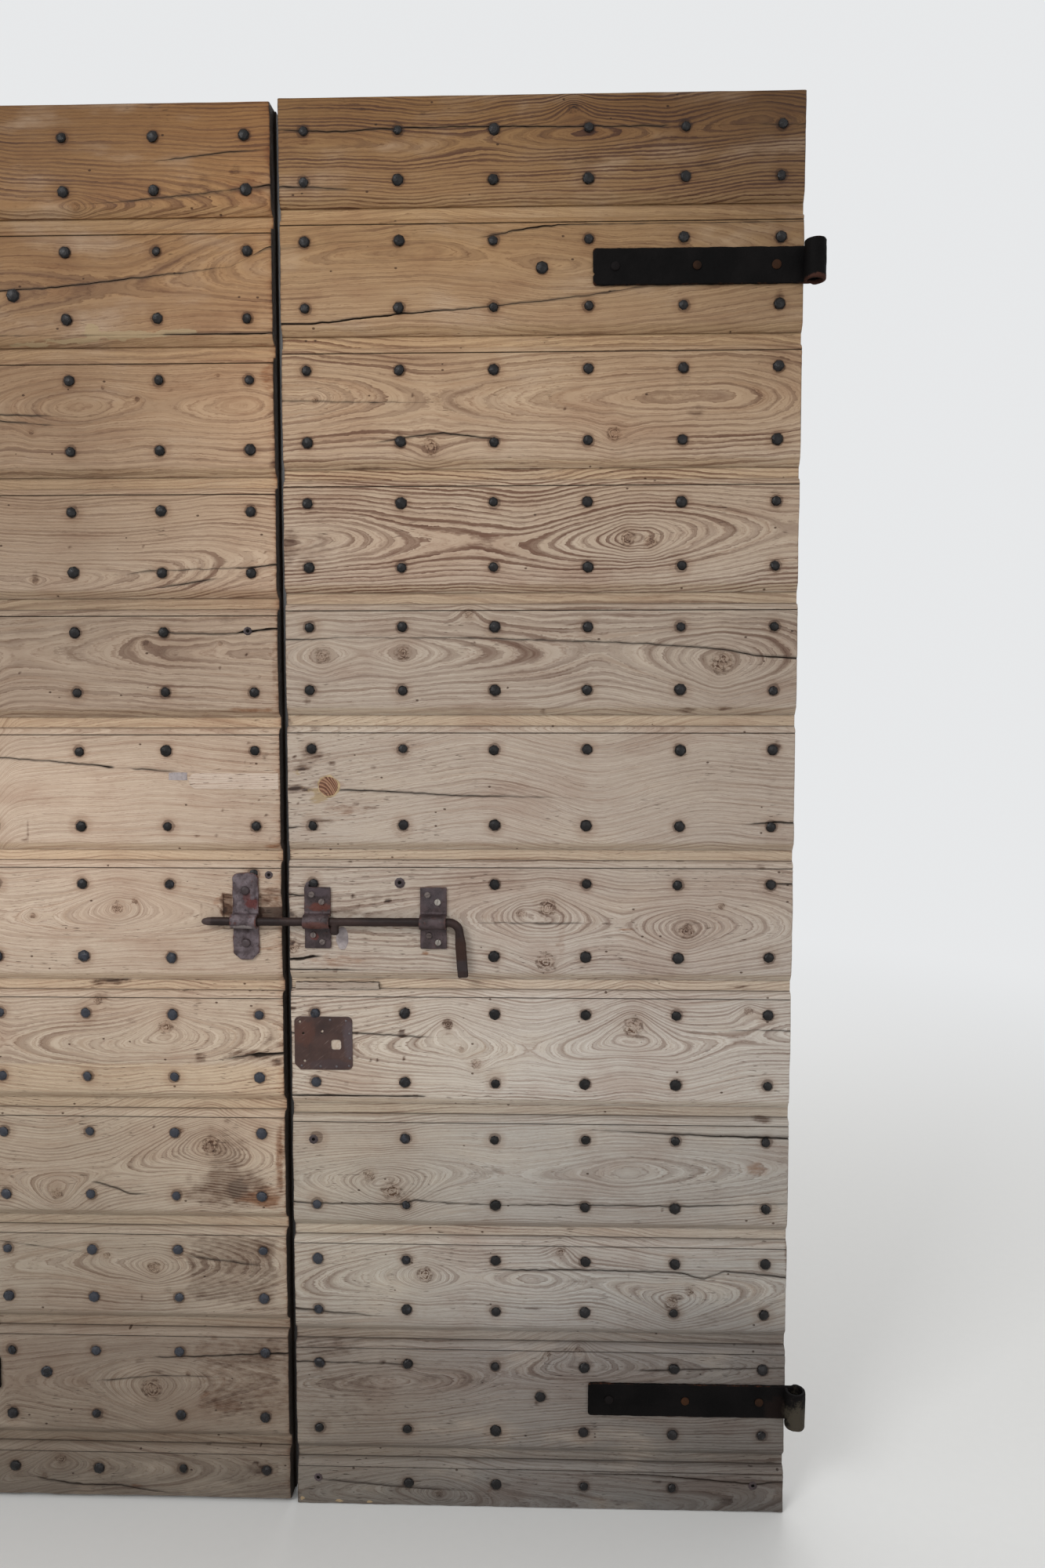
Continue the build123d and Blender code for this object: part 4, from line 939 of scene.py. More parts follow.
def pineMaterial(name, ramp, upright=False):
    material, tree, surface, place = startMaterial(name)
    x, y, z = place.split()
    if upright:
        place = joined(tree, z, y, x)
    rings, along, contrast = attribute(tree, "grain").split()
    cleanAndHighlight, paint, end = attribute(tree, "cover").split()
    dark, rust, creviceDirtAndShade = attribute(tree, "wear").split()
    tone, fleck, board = attribute(tree, "zone").split()
    knotX, knotZ, knotNear = attribute(tree, "knot").split()
    nailX, nailZ, nailNear = attribute(tree, "nail").split()
    warmth = attribute(tree, "warmth").split()[0]

    # fibres run along the rings, so they bend round the knots with them
    def threads(alongScale, acrossScale, detail, roughness):
        return grainNoise(joined(tree, along * alongScale, rings * acrossScale, board * 5.3), 1.0, detail, roughness)

    def mottle(detail, roughness, *stretch):
        return grainNoise(place, 1.0, detail, roughness, stretch)

    fibre, hairline, streak = threads(9, 3.2, 7, 0.62), threads(24, 13, 4, 0.6), threads(5, 1.7, 5, 0.6)
    patchy, broad, cloth = mottle(4, 0.6, 5, 5, 13), mottle(3, 0.5, 2.2, 2.2, 6), mottle(5, 0.7, 60, 60, 150)
    jittered = rings + (mottle(4, 0.6, 26, 26, 70) - 0.5) * 0.8 + board * 0.37
    jittered = jittered + (mottle(3, 0.6, 75, 75, 330) - 0.5) * 0.42
    ringNumber = jittered.apply("FLOOR")
    phase = jittered - ringNumber
    own = addNode(tree, "ShaderNodeTexWhiteNoise", {"noise_dimensions": "1D"}, {"W": ringNumber + board * 31}, "Value")
    start = 0.62 - own * 0.34
    late = (phase - start).rise(0.0, 0.24) * phase.rise(1.0, 0.965)  # the dark late wood of each ring
    lateShare = late * (own * 0.65 + 0.5) * contrast * (fibre.rise(0.30, 0.52) * 0.6 + 0.4)
    lateShare = lateShare * (streak.rise(0.34, 0.60) * 0.65 + 0.4) * (broad.rise(0.3, 0.6) * 0.35 + 0.7)
    finePhase = (jittered * 2.7).apply("FRACT")
    fineLine = finePhase.rise(0.55, 0.9) * finePhase.rise(1.0, 0.94) * (fibre + cloth * 0.5).rise(0.62, 0.86)

    # colour by height, the wood's weathering with painted shade: warm and dark under the lintel, pale in the middle,
    # cool and darker near the ground
    height = z / doorHeight + (broad - 0.5) * 0.03
    stops = [(share, srgb(*colour)) for share, colour in ramp]
    base = addNode(tree, "ShaderNodeValToRGB", {"stops": stops}, {"Fac": height}, "Color")
    # paler on the sunk bands and the newer strip, which are cleaner wood, and on the lip bevel, where the paleness is
    # worn wood with a painted highlight
    base = base.tint((warmth.rise(0, 1), (1.02, 0.945, 0.87)), (warmth.rise(0, -1), (0.98, 1.035, 1.12)),
                     (cleanAndHighlight * 0.4, (1.08, 1.02, 0.93)))
    base = base.blend("MIX", cleanAndHighlight * height.rise(0.05, 0.5) * 0.26, srgb(210, 182, 142))
    # tone: each board's own tone with the painted shade under the lintel and low down at the hinge side
    base = base.tint((1.0, joined(tree, tone, tone, tone)), (patchy.rise(0.50, 0.70) * 0.62, (0.77, 0.67, 0.63)))
    base = base.blend("MIX", patchy.rise(0.5, 0.25) * 0.30, srgb(188, 174, 156))
    base = base.tint((broad.rise(0.48, 0.74) * 0.5, (0.88, 0.78, 0.73)),
                     (streak.rise(0.50, 0.68) * 0.55, (0.72, 0.62, 0.56)),
                     (fibre.rise(0.58, 0.36) * 0.40, (0.70, 0.64, 0.58)),
                     (hairline.rise(0.54, 0.70) * 0.5, (0.64, 0.56, 0.50)),
                     (fineLine * 0.65, (0.56, 0.46, 0.41)),
                     (cloth.rise(0.55, 0.8) * 0.35, (0.72, 0.66, 0.62)),
                     (lateShare, (0.34, 0.235, 0.20)))

    # knots: a core, a dark rim, rough patches, a wide shade and cracks like spokes
    rough = mottle(5, 0.65, 70, 70, 190)
    away = (knotX * knotX + knotZ * knotZ).apply("POWER", 0.5) + (1 - knotNear) * 9
    ragged = away + (mottle(4, 0.65, 60, 60, 60) - 0.5) * 1.5
    core = ragged.rise(1.0, 0.6)
    knotRings = (ragged * 19).apply("SINE") * 0.5 + 0.5
    rim = ragged.rise(0.72, 0.9) * ragged.rise(1.08, 0.95)
    turn = knotZ.apply("ARCTAN2", knotX) * 2.5 + rough * 5
    spokes = turn.apply("SINE").apply("ABSOLUTE").rise(0.22, 0.08) * away.rise(1.1, 0.5) * knotNear
    base = base.tint((core * (knotRings * 0.3 + 0.22), (0.60, 0.46, 0.38)),
                     (rim * rough.rise(0.40, 0.65) * 0.8, (0.30, 0.22, 0.17)),
                     (core * (rough + knotRings * 0.2).rise(0.62, 0.75), (0.30, 0.21, 0.16)),
                     (away.rise(2.6, 0.9) * 0.25, (0.66, 0.54, 0.46)),
                     (spokes * 0.75, (0.22, 0.15, 0.12)))

    # flecks, worm holes, stains, the marks round the nails, and darkening in the cracks, the quirk and the corner
    # under the bead: dirt in the cracks, painted shade in all three
    dash = mottle(2, 0.5, 55, 1, 520)
    flecks = dash.rise(0.62, 0.70) * (mottle(3, 0.6, 9, 9, 16) + fleck * 0.40).rise(0.60, 0.8)
    cells = place.vector("MULTIPLY", (75, 0, 110))
    speck, cellId = (addNode(tree, "ShaderNodeTexVoronoi", {"voronoi_dimensions": "3D"},
                             {"Vector": cells, "Scale": 1.0}, out) for out in ("Distance", "Color"))
    holes = speck.rise(0.19, 0.12) * (cellId.split()[0] + fleck * 0.05 > 0.98)
    stainDark = (dark * 1.5 + rough - 0.8).rise(0.05, 0.8) * dark.rise(0.02, 0.3)
    stainRust = (rust * 1.5 + rough - 0.8).rise(0.05, 0.85) * rust.rise(0.02, 0.3)
    nailAway = (nailX * nailX + nailZ * nailZ).apply("POWER", 0.5) + (1 - nailNear) * 9 + (rough - 0.5) * 0.7
    # the dark rim hard against each nail head is iron stain with painted contact shade; the wider, fainter ring is
    # iron stain
    base = base.tint((stainRust * 0.85, (0.60, 0.35, 0.22)),
                     (stainDark * (late * 0.3 + 0.62), (0.27, 0.185, 0.15)),
                     (stainDark * dark.rise(0.62, 0.95) * 0.8, (0.24, 0.23, 0.25)),
                     (nailAway.rise(1.28, 1.0) * 0.65, (0.30, 0.23, 0.20)),
                     ((nailAway + (patchy - 0.5) * 3).rise(2.4, 1.1) * 0.35, (0.62, 0.48, 0.40)))
    base = base.blend("MIX", (paint * 1.2 + rough * 1.2 - 1.15).rise(0.0, 0.16) * 0.85, srgb(148, 128, 98))
    base = base.tint(((flecks * 0.85).apply("MAXIMUM", holes * 0.9), (0.20, 0.14, 0.11)))
    # dark cracks, quirk and corner under the bead: dirt and painted shade
    base = base.blend("MIX", creviceDirtAndShade.rise(0.05, 0.55) * 0.94, srgb(38, 28, 21))
    base = base.blend("MIX", end.rise(0.35, 1.0) * 0.9, srgb(40, 31, 24))

    bumps = late * contrast * 0.55 + fibre * 0.5 + hairline * 0.35 + core * 0.25 + cloth * 0.3
    bumps = bumps - flecks * 0.8 - holes * 1.2 - stainDark * 0.15
    roughness = 0.66 + fibre * 0.16 - lateShare * 0.10 + stainDark * 0.05
    setShader(surface, {"Base Color": base, "Roughness": roughness, "Normal": relief(bumps, 0.6, 0.0011),
                        "Specular IOR Level": 0.28})
    return material


# colours from the ground up, by share of the height; on the face they are the wood's weathered colour with painted
# shade, darkest and warmest under the lintel and darker near the ground
faceColourAndShadeRamp = [(0.0, (98, 93, 87)), (0.07, (130, 121, 111)), (0.12, (134, 125, 116)), (0.16, (164, 157, 146)),
            (0.3, (190, 179, 164)), (0.4, (186, 174, 161)), (0.5, (180, 167, 154)), (0.66, (178, 163, 147)),
            (0.8, (172, 147, 120)), (0.9, (152, 121, 86)), (1.0, (120, 88, 52))]
backRamp = [(0.0, (104, 92, 78)), (0.15, (132, 114, 94)), (0.55, (142, 120, 94)), (1.0, (126, 102, 76))]
pine = pineMaterial("agedPine", faceColourAndShadeRamp)
boards = [makeBoard(node, index) for index, node in enumerate(sorted(boardLooks))]
print("boards are made:", len(boards))


# Back planks, with the grain upright. heart: x of the tree's heart, depth: how deep it lies under the back in mm;
# knots: (z, x, radius in mm)
plankLooks = {
    "right_back_plank_1": {"ring": 6.2, "contrast": 0.55, "heart": 0.10, "depth": 20,
                           "knots": [(0.62, 0.09, 9), (1.66, 0.19, 7)]},
    "right_back_plank_2": {"ring": 7.4, "contrast": 0.65, "heart": 0.41, "depth": 9, "knots": [(1.12, 0.36, 11)]},
    "right_back_plank_3": {"ring": 5.4, "contrast": 0.50, "heart": 0.60, "depth": 30,
                           "knots": [(0.35, 0.66, 8), (1.45, 0.58, 10)]},
    "left_back_plank_1": {"ring": 6.6, "contrast": 0.60, "heart": -0.16, "depth": 12, "knots": [(1.83, -0.10, 9)]},
    "left_back_plank_2": {"ring": 5.8, "contrast": 0.50, "heart": -0.35, "depth": 28,
                          "knots": [(0.52, -0.42, 8), (1.30, -0.33, 12)]},
    "left_back_plank_3": {"ring": 7.0, "contrast": 0.60, "heart": -0.66, "depth": 14, "knots": [(0.95, -0.62, 10)]},
}
plankShape = {"rounding": 0.0024, "along": 0.0125, "across": 0.0075, "nailMark": 0.0062, "endDark": 0.8,
              "fuller": {"left": 0.002, "right": 0.001}}  # fuller by the gap, so no light comes through it


def luckAt(seed, at):
    return float(softNoise(at * 3.1 + 0.37, seed * 0.71, seed))


def editMesh(mesh, change):
    work = bmesh.new()
    work.from_mesh(mesh)
    change(work)
    work.to_mesh(mesh)
    work.free()


def turnOutward(mesh):
    editMesh(mesh, lambda work: bmesh.ops.recalc_face_normals(work, faces=work.faces))


def makePlank(node, index):
    look = plankLooks[node]
    side = node.split("_")[0]
    low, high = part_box(node)
    seed = 600 + index * 13
    gap, fuller = boardWear["gapEdge"], plankShape["fuller"][side]
    if side == "left":
        high.x = min(high.x, -gap) + (fuller if high.x > -2 * gap else 0)
    else:
        low.x = max(low.x, gap) - (fuller if low.x < 2 * gap else 0)
    along = np.concatenate([[low.z, low.z + 0.0015], np.arange(low.z + 0.01, high.z - 0.009, plankShape["along"]),
                            [high.z - 0.0015, high.z]])
    rounding, flatter = plankShape["rounding"], plankShape["rounding"] * 0.3
    section = [(low.x, low.y), (low.x, high.y - rounding), (low.x + flatter, high.y - flatter),
               (low.x + rounding, high.y)]
    section += [(x, high.y) for x in np.arange(low.x + 0.009, high.x - 0.008, plankShape["across"])]
    section += [(high.x - rounding, high.y), (high.x - flatter, high.y - flatter), (high.x, high.y - rounding),
                (high.x, low.y), ((low.x + high.x) / 2, low.y)]
    xs, ys = (np.array([[point[i]] * len(along) for point in section]) for i in range(2))
    zs = np.tile(along, (len(section), 1))
    hollow = 0.0003 + 0.0003 * softNoise(xs / 0.05, zs / 0.2, seed)
    hollow = hollow + 0.0002 * softNoise(xs / 0.012, zs / 0.05, seed + 1)
    ys = ys - (ys > high.y - 0.0001) * np.abs(hollow)
    spots = {"heart": [(z, look["heart"] + luckAt(seed, z) * 0.04, look["depth"] + luckAt(seed + 1, z) * 8)
                       for z in np.arange(0, 2.2, 0.35)],
             "knots": [(kz, kx, r, r * 1.2) for kz, kx, r in look["knots"]]}
    rings = growth(zs, faceY + backY - ys, xs, look["ring"], spots, seed)
    knots = nearestMark(zs, xs, [(kz, kx, r * mm) for kz, kx, r in look["knots"]])
    nails = nearestMark(xs, zs, [(*nail, plankShape["nailMark"]) for nail in nailSpots[side]])
    meeting = np.abs(xs) - gap
    outer = np.minimum(xs - low.x, high.x - xs)
    dark = np.maximum(np.exp(-meeting / 0.003), np.exp(-outer / 0.004) * 0.4)
    dark = np.maximum(dark, np.exp(-zs / 0.08) * 0.45)
    ends = (meeting < 0.0016) * 1.0
    ends[:, [0, -1]] = np.maximum(ends[:, [0, -1]], plankShape["endDark"])
    piece = sweptPiece(side + "BackPlank" + node[-1], xs, ys, zs, plankPine)
    giveAttributes(piece.data, {"grain": (rings, zs, look["contrast"]), "knot": knots, "nail": nails,
                                "wear": (dark, dark * 0.3, 0), "cover": (0, 0, ends),
                                "zone": (0.94 + 0.06 * luckAt(seed, 2), 0.5, 40 + index)})
    turnOutward(piece.data)
    finishShape(piece, 38)
    return seat(piece, "back_plank_pine", node)


plankPine = pineMaterial("plankPine", backRamp, upright=True)
planks = [makePlank(node, index) for index, node in enumerate(sorted(plankLooks))]
print("back planks are made:", len(planks))


# Repairs let into the face
def middleAndReach(low, high):
    middle = ((low.x + high.x) / 2, (low.z + high.z) / 2)
    return middle, (high.x - middle[0], high.z - middle[1])


def rectangleOutline(low, high, seed, uneven, roundLeft):
    # corners slightly off, sides slightly wavy
    points = []
    corners = [(low.x, low.z), (high.x, low.z), (high.x, high.z), (low.x, high.z)]
    for k, (ax, az) in enumerate(corners):
        bx, bz = corners[(k + 1) % 4]
        count = max(4, int(math.hypot(bx - ax, bz - az) / 0.003))
        points += [(ax + (bx - ax) * i / count, az + (bz - az) * i / count) for i in range(count)]
    middle, reach = middleAndReach(low, high)
    out = []
    for x, z in points:
        inward = uneven * abs(float(softNoise(x / 0.009, z / 0.009, seed)))
        beyond = max(0, 1 - (x - low.x) / reach[1])
        if roundLeft and beyond > 0:
            bulge = reach[1] * math.sqrt(max(0, 1 - beyond ** 2))
            z = middle[1] + max(-bulge, min(bulge, z - middle[1]))
        out.append((x - (x - middle[0]) / reach[0] * inward, z - (z - middle[1]) / reach[1] * inward))
    return out


def ovalOutline(low, high, seed, uneven):
    middle, reach = middleAndReach(low, high)
    out = []
    for i in range(48):
        c, s = math.cos(2 * math.pi * i / 48), math.sin(2 * math.pi * i / 48)
        shrink = 1 - uneven * abs(float(softNoise(c * 1.7 + 5, s * 1.7 + 5, seed)))
        out.append((middle[0] + reach[0] * c * shrink, middle[1] + reach[1] * s * shrink))
    return out


def inlay(name, outline, front, depth, rounding, look, seed):
    # rings from the hidden rim over a rounded edge to the middle of the front
    xs, zs = np.array(outline).T
    middle = [(along.min() + along.max()) / 2 for along in (xs, zs)]
    reach = [(along.max() - along.min()) / 2 for along in (xs, zs)]
    rings = []
    for inward, y in ((0, depth), (0, rounding), (0.3, rounding * 0.3), (1, 0)):
        shares = [1 - inward * rounding / side for side in reach]
        rings.append((middle[0] + (xs - middle[0]) * shares[0], front + y + xs * 0,
                      middle[1] + (zs - middle[1]) * shares[1]))
    for share in (0.85, 0.7, 0.55, 0.4, 0.25, 0.12):
        x, z = middle[0] + (xs - middle[0]) * share, middle[1] + (zs - middle[1]) * share
        wavy = np.abs(softNoise(x / 0.008, z / 0.008, seed)) * 0.0002
        rings.append((x, front + look["hollow"] * (1 - share) + wavy, z))
    x, y, z = (np.array([ring[i] for ring in rings]) for i in range(3))
    count = len(outline)
    faces = [(k * count + i, k * count + (i + 1) % count, (k + 1) * count + (i + 1) % count, (k + 1) * count + i)
             for k in range(len(rings) - 1) for i in range(count)]
    faces += [tuple(range(count)), tuple((len(rings) - 1) * count + i for i in range(count))]
    piece = newMesh(name, np.stack([x, y, z], 2).reshape(-1, 3).tolist(), faces, look["material"])
    lean = math.radians(look["lean"])
    ringed = (z * math.cos(lean) - x * math.sin(lean)) / mm / look["ring"] + softNoise(x / 0.05, z / 0.01, seed) * 0.6
    ringed = ringed + ((x - middle[0]) / mm * look.get("arc", 0)) ** 2
    # darker towards the edge, through the rim and end values: a painted shadow line round the let-in piece
    edge = np.array([[1.0], [0.75], [0.45]] + [[0.0]] * 7) * np.ones(x.shape)
    noMark = (9, 9, 0)  # far from any knot or nail
    giveAttributes(piece.data, {"grain": (ringed, x, look["contrast"]), "knot": noMark, "nail": noMark,
                                "wear": (edge * look["rim"], look["rust"], 0), "cover": (0, 0, edge * look["end"]),
                                "zone": (look["tone"], look["fleck"], seed), "edge": (edge, 1, 1)})
    turnOutward(piece.data)
    return finishShape(piece, 60)


def fillerMaterial(name, pale, deep):
    material, tree, surface, place = startMaterial(name)
    edge = attribute(tree, "edge").split()[0]
    fine, cloud = grainNoise(place, 260, 5, 0.65), grainNoise(place, 70, 4, 0.6)
    colour = mixColours(tree, cloud.rise(0.35, 0.65), deep, pale)
    # darker at the edge: a painted shadow line round the filler
    colour = colour.tint((fine.rise(0.5, 0.75) * 0.5, (0.6, 0.55, 0.5)), (edge * 0.6, (0.45, 0.38, 0.33)))
    setShader(surface, {"Base Color": colour, "Roughness": 0.82, "Normal": relief(fine + cloud, 0.5, 0.0008)})
    return material


patchPine = pineMaterial("patchPine", [(0.0, (198, 182, 167)), (1.0, (198, 182, 167))])
greyFiller = fillerMaterial("greyFiller", srgb(156, 147, 146), srgb(126, 117, 118))
paleGlue = fillerMaterial("paleGlue", srgb(170, 148, 114), srgb(126, 104, 76))
putty = {"ring": 4, "contrast": 0.1, "lean": 0, "rust": 0, "tone": 1.0, "fleck": 0.4, "rim": 0.5, "end": 0.5,
         "hollow": 0.0001, "material": greyFiller, "slot": "grey_filler"}
patchLooks = {
    "dutchman_patch": {"ring": 3.4, "contrast": 0.22, "lean": 1.5, "rust": 0.0, "tone": 1.0, "fleck": 0.9, "rim": 0.9,
                       "end": 0.8, "hollow": 0.0001, "material": patchPine, "slot": "patch_pine"},
    "grey_patch": putty,
    "round_plug": {"ring": 4.2, "contrast": 1.6, "lean": -58, "arc": 0.09, "rust": 0.75, "tone": 0.86, "fleck": 0.6,
                   "rim": 0.6, "end": 0.3, "hollow": 0.0002, "material": patchPine, "slot": "patch_pine"},
    "oval_filler": putty,
    "band_strip": {"ring": 2.6, "contrast": 0.45, "lean": 0.4, "rust": 0.05, "tone": 0.92, "fleck": 1.3, "rim": 0.9,
                   "end": 0.9, "hollow": 0.0001, "material": pine, "slot": "patch_pine"},
}
patchShape = {"proud": 0.0004, "depth": 0.003, "rounding": 0.0008, "uneven": 0.0012, "unevenOval": 0.10}
glueShape = {"swell": (0.0032, 0, 0.0030), "depth": 0.002, "rounding": 0.0006, "uneven": 0.26}
for index, (node, look) in enumerate(patchLooks.items()):
    low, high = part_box(node)
    if node in ("round_plug", "oval_filler"):
        outline = ovalOutline(low, high, 70 + index, patchShape["unevenOval"])
    else:
        isRound = node == "dutchman_patch"
        outline = rectangleOutline(low, high, 70 + index, patchShape["uneven"], isRound)
    isSunk = node == "band_strip"
    front, depth = (low.y, high.y - low.y) if isSunk else (faceY - patchShape["proud"], patchShape["depth"])
    first, second = node.split("_")
    piece = inlay(first + second.title(), outline, front, depth, patchShape["rounding"], look, 70 + index)
    seat(piece, look["slot"], node)
low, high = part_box("round_plug")
swell = Vector(glueShape["swell"])
outline = ovalOutline(low - swell, high + swell, 77, glueShape["uneven"])
glue = inlay("plugGlue", outline, faceY - patchShape["proud"] * 0.4, glueShape["depth"], glueShape["rounding"],
             {**putty, "material": paleGlue}, 81)
seat(glue, "grey_filler")
print("repairs are let in")


# Irons. patches: (middle, reach, colour, share) of a chipped or rusty spot, and on the nails a patch of painted light,
# in m at the door's own coordinates; streak: how the clouds of the skin are stretched; rustFrom: a higher value leaves
# less rust; bright: bare edges of the worn colour. Colours are red, green and blue as read on screen
def ironMaterial(name, look):
    # iron that has stood in the weather: dark skin, rust in the hollows and along the edges, fine pits
    material, tree, surface, place = startMaterial(name)
    dark, light, rustDark, rust, worn = (srgb(*look[key]) for key in ("dark", "light", "rustDark", "rust", "worn"))
    edge = attribute(tree, "edge").split()[0]
    coarse = grainNoise(place, look["patchScale"], 6, 0.62)
    fine = grainNoise(place, look["pitScale"], 4, 0.6)
    cloud = grainNoise(place, 1.0, 4, 0.55, stretch=look["streak"])
    skin = mixColours(tree, cloud.rise(0.32, 0.68), dark, light)
    rustShare = (coarse * 0.6 + fine * 0.25 + edge * look["edgeRust"]).rise(look["rustFrom"], look["rustFrom"] + 0.16)
    rusty = mixColours(tree, fine.rise(0.35, 0.65), rustDark, rust)
    colour = skin.blend("MIX", rustShare * look["rustMost"], rusty)
    colour = colour.blend("MIX", edge.rise(0.45, 0.9) * coarse.rise(0.4, 0.6) * look["bright"], worn)
    for middle, reach, patchColour, share in look["patches"]:
        away = place.vector("SUBTRACT", middle).vector("DIVIDE", reach).vector("LENGTH", out="Value")
        chip = (away + (coarse - 0.5) * 1.3 + (fine - 0.5) * 0.7).rise(1.0, 0.6)
        colour = colour.blend("MIX", chip * share, srgb(*patchColour))
    pits = fine.rise(0.42, 0.30)
    colour = colour.tint((pits * 0.6, (0.45, 0.42, 0.42)))
    if "scratch" in look:
        slant = addNode(tree, "ShaderNodeVectorRotate", {"rotation_type": "Y_AXIS"}, {"Vector": place, "Angle": 0.7})
        scratch = grainNoise(slant, 1.0, 2, 0.5, stretch=(40, 40, 1500)).rise(0.66, 0.72) * cloud.rise(0.4, 0.6)
        colour = colour.blend("MIX", scratch * 0.5, srgb(*look["scratch"]))
    height = coarse * 0.8 + fine * 0.5 - pits * 0.6 + rustShare * 0.2
    setShader(surface, {"Base Color": colour, "Roughness": rustShare * 0.22 + fine * 0.15 + look["rough"],
                        "Metallic": look["metal"], "Normal": relief(height, look["relief"], 0.0008),
                        "Specular IOR Level": look["shine"]})
    return material


plainLook = {"dark": (7, 6, 6), "light": (13, 11, 11), "rust": (74, 42, 26), "rustDark": (36, 23, 18),
             "rustFrom": 0.66, "edgeRust": 0.42, "rustMost": 0.75, "rough": 0.62, "metal": 0.0, "relief": 0.45,
             "shine": 0.06, "patchScale": 70, "pitScale": 420, "streak": (24, 24, 24), "bright": 0.0,
             "worn": (149, 149, 149), "patches": []}
ironLooks = {
    "strapIron": {"patches": [((0.768, -0.03, 0.165), (0.02, 0.05, 0.04), (74, 68, 58), 0.6),
                              ((0.742, -0.014, 0.165), (0.024, 0.01, 0.03), (30, 20, 17), 0.5),
                              ((0.772, -0.03, 1.833), (0.03, 0.05, 0.006), (70, 44, 36), 0.7)]},
    # nail heads near-black, which is partly painted shade on the upper nails; the lighter bluish patch over the lower
    # left nails is painted light
    "nailIron": {"dark": (9, 7, 7), "light": (22, 19, 20), "rust": (52, 36, 29),
                 "rustDark": (38, 28, 26), "rustFrom": 0.54, "rustMost": 0.6, "edgeRust": 0.0, "rough": 0.34,
                 "metal": 0.1, "patchScale": 150, "pitScale": 700, "relief": 0.7, "shine": 0.32,
                 "patches": [((-0.2, 0, 0.55), (0.45, 0.2, 0.45), (62, 66, 76), 0.6)]},
    "stapleRivetIron": {"dark": (44, 33, 34), "light": (74, 62, 64), "rustFrom": 0.56, "rough": 0.4,
                        "metal": 0.1, "shine": 0.4},
    "rivetIron": {"dark": (32, 21, 15), "light": (56, 35, 22), "rust": (74, 45, 27),
                  "rustDark": (38, 24, 17), "rustFrom": 0.47, "edgeRust": 0.0,
                  "patches": [((0.487, 0, 1), (0.02, 0.1, 9), (19, 16, 16), 1.0),
                              ((-0.487, 0, 1), (0.02, 0.1, 9), (19, 16, 16), 1.0)]},
    "boltIron": {"dark": (26, 16, 14), "light": (48, 34, 31), "rust": (78, 44, 30),
                 "rustDark": (40, 23, 17), "rustFrom": 0.52, "edgeRust": 0.1, "rustMost": 0.7, "rough": 0.44,
                 "streak": (14, 60, 60), "bright": 0.5, "worn": (104, 80, 70), "shine": 0.22,
                 "patches": [((0.262, -0.02, 0.877), (0.02, 0.03, 0.022), (46, 26, 17), 0.75),
                             ((0.266, -0.02, 0.853), (0.02, 0.03, 0.010), (52, 44, 45), 0.6),
                             ((-0.118, -0.02, 0.917), (0.012, 0.03, 0.02), (74, 60, 58), 0.6)]},
    "stapleIron": {"dark": (52, 39, 41), "light": (104, 93, 97), "rust": (92, 50, 38),
                   "rustDark": (56, 33, 29), "rustFrom": 0.47, "edgeRust": 0.3, "rustMost": 0.8, "rough": 0.52,
                   "metal": 0.1, "relief": 1.0, "patchScale": 150, "streak": (60, 60, 60), "shine": 0.35,
                   "patches": [((-0.050, -0.014, 0.9420), (0.013, 0.02, 0.009), (84, 25, 19), 0.8),
                               ((-0.057, -0.014, 0.954), (0.007, 0.02, 0.013), (84, 34, 30), 0.6),
                               ((-0.060, -0.03, 0.9085), (0.022, 0.02, 0.005), (140, 132, 130), 0.7)]},
    "keeperIron": {"dark": (38, 27, 27), "light": (74, 61, 63), "rust": (94, 48, 33),
                   "rustDark": (50, 28, 23), "rustFrom": 0.49, "edgeRust": 0.25, "rough": 0.44, "metal": 0.1,
                   "patchScale": 110, "shine": 0.35, "streak": (50, 50, 50), "bright": 0.9,
                   "worn": (124, 112, 114), "relief": 0.8,
                   "patches": [((0.052, -0.014, 0.938), (0.022, 0.02, 0.008), (88, 42, 30), 0.8),
                               ((0.049, -0.03, 0.913), (0.024, 0.03, 0.008), (86, 46, 34), 0.6),
                               ((0.044, -0.014, 0.894), (0.008, 0.01, 0.007), (92, 40, 30), 0.7),
                               ((0.049, -0.014, 0.960), (0.02, 0.01, 0.008), (80, 68, 74), 0.5),
                               ((0.222, -0.014, 0.955), (0.02, 0.01, 0.02), (72, 64, 68), 0.5)]},
    "screwSteel": {"dark": (74, 62, 60), "light": (122, 112, 108), "rust": (96, 58, 42),
                   "rustFrom": 0.5, "edgeRust": 0.0, "rough": 0.34, "metal": 0.5, "shine": 0.5},
    "brightSteel": {"dark": (118, 110, 104), "light": (182, 176, 168), "rust": (110, 74, 56),
                    "rustFrom": 0.62, "edgeRust": 0.0, "rough": 0.30, "metal": 0.7, "shine": 0.5},
    "tackSteel": {"dark": (60, 52, 54), "light": (98, 92, 94), "rustFrom": 0.6, "rough": 0.4, "metal": 0.4,
                  "shine": 0.5},
    "coverSteel": {"dark": (42, 24, 20), "light": (66, 44, 38), "rust": (84, 47, 32),
                   "rustDark": (58, 35, 28), "rustFrom": 0.50, "edgeRust": 0.0, "rustMost": 0.7, "rough": 0.36,
                   "metal": 0.1, "relief": 0.3, "streak": (20, 20, 26), "shine": 0.45, "bright": 0.9,
                   "worn": (112, 98, 96), "scratch": (142, 126, 120),
                   "patches": [((0.094, -0.012, 0.740), (0.011, 0.02, 0.040), (74, 63, 67), 0.65),
                               ((0.026, -0.012, 0.745), (0.020, 0.02, 0.024), (78, 44, 32), 0.6),
                               ((0.065, -0.012, 0.698), (0.04, 0.02, 0.009), (60, 46, 48), 0.6)]},
}
irons = {name: ironMaterial(name, {**plainLook, **look}) for name, look in ironLooks.items()}


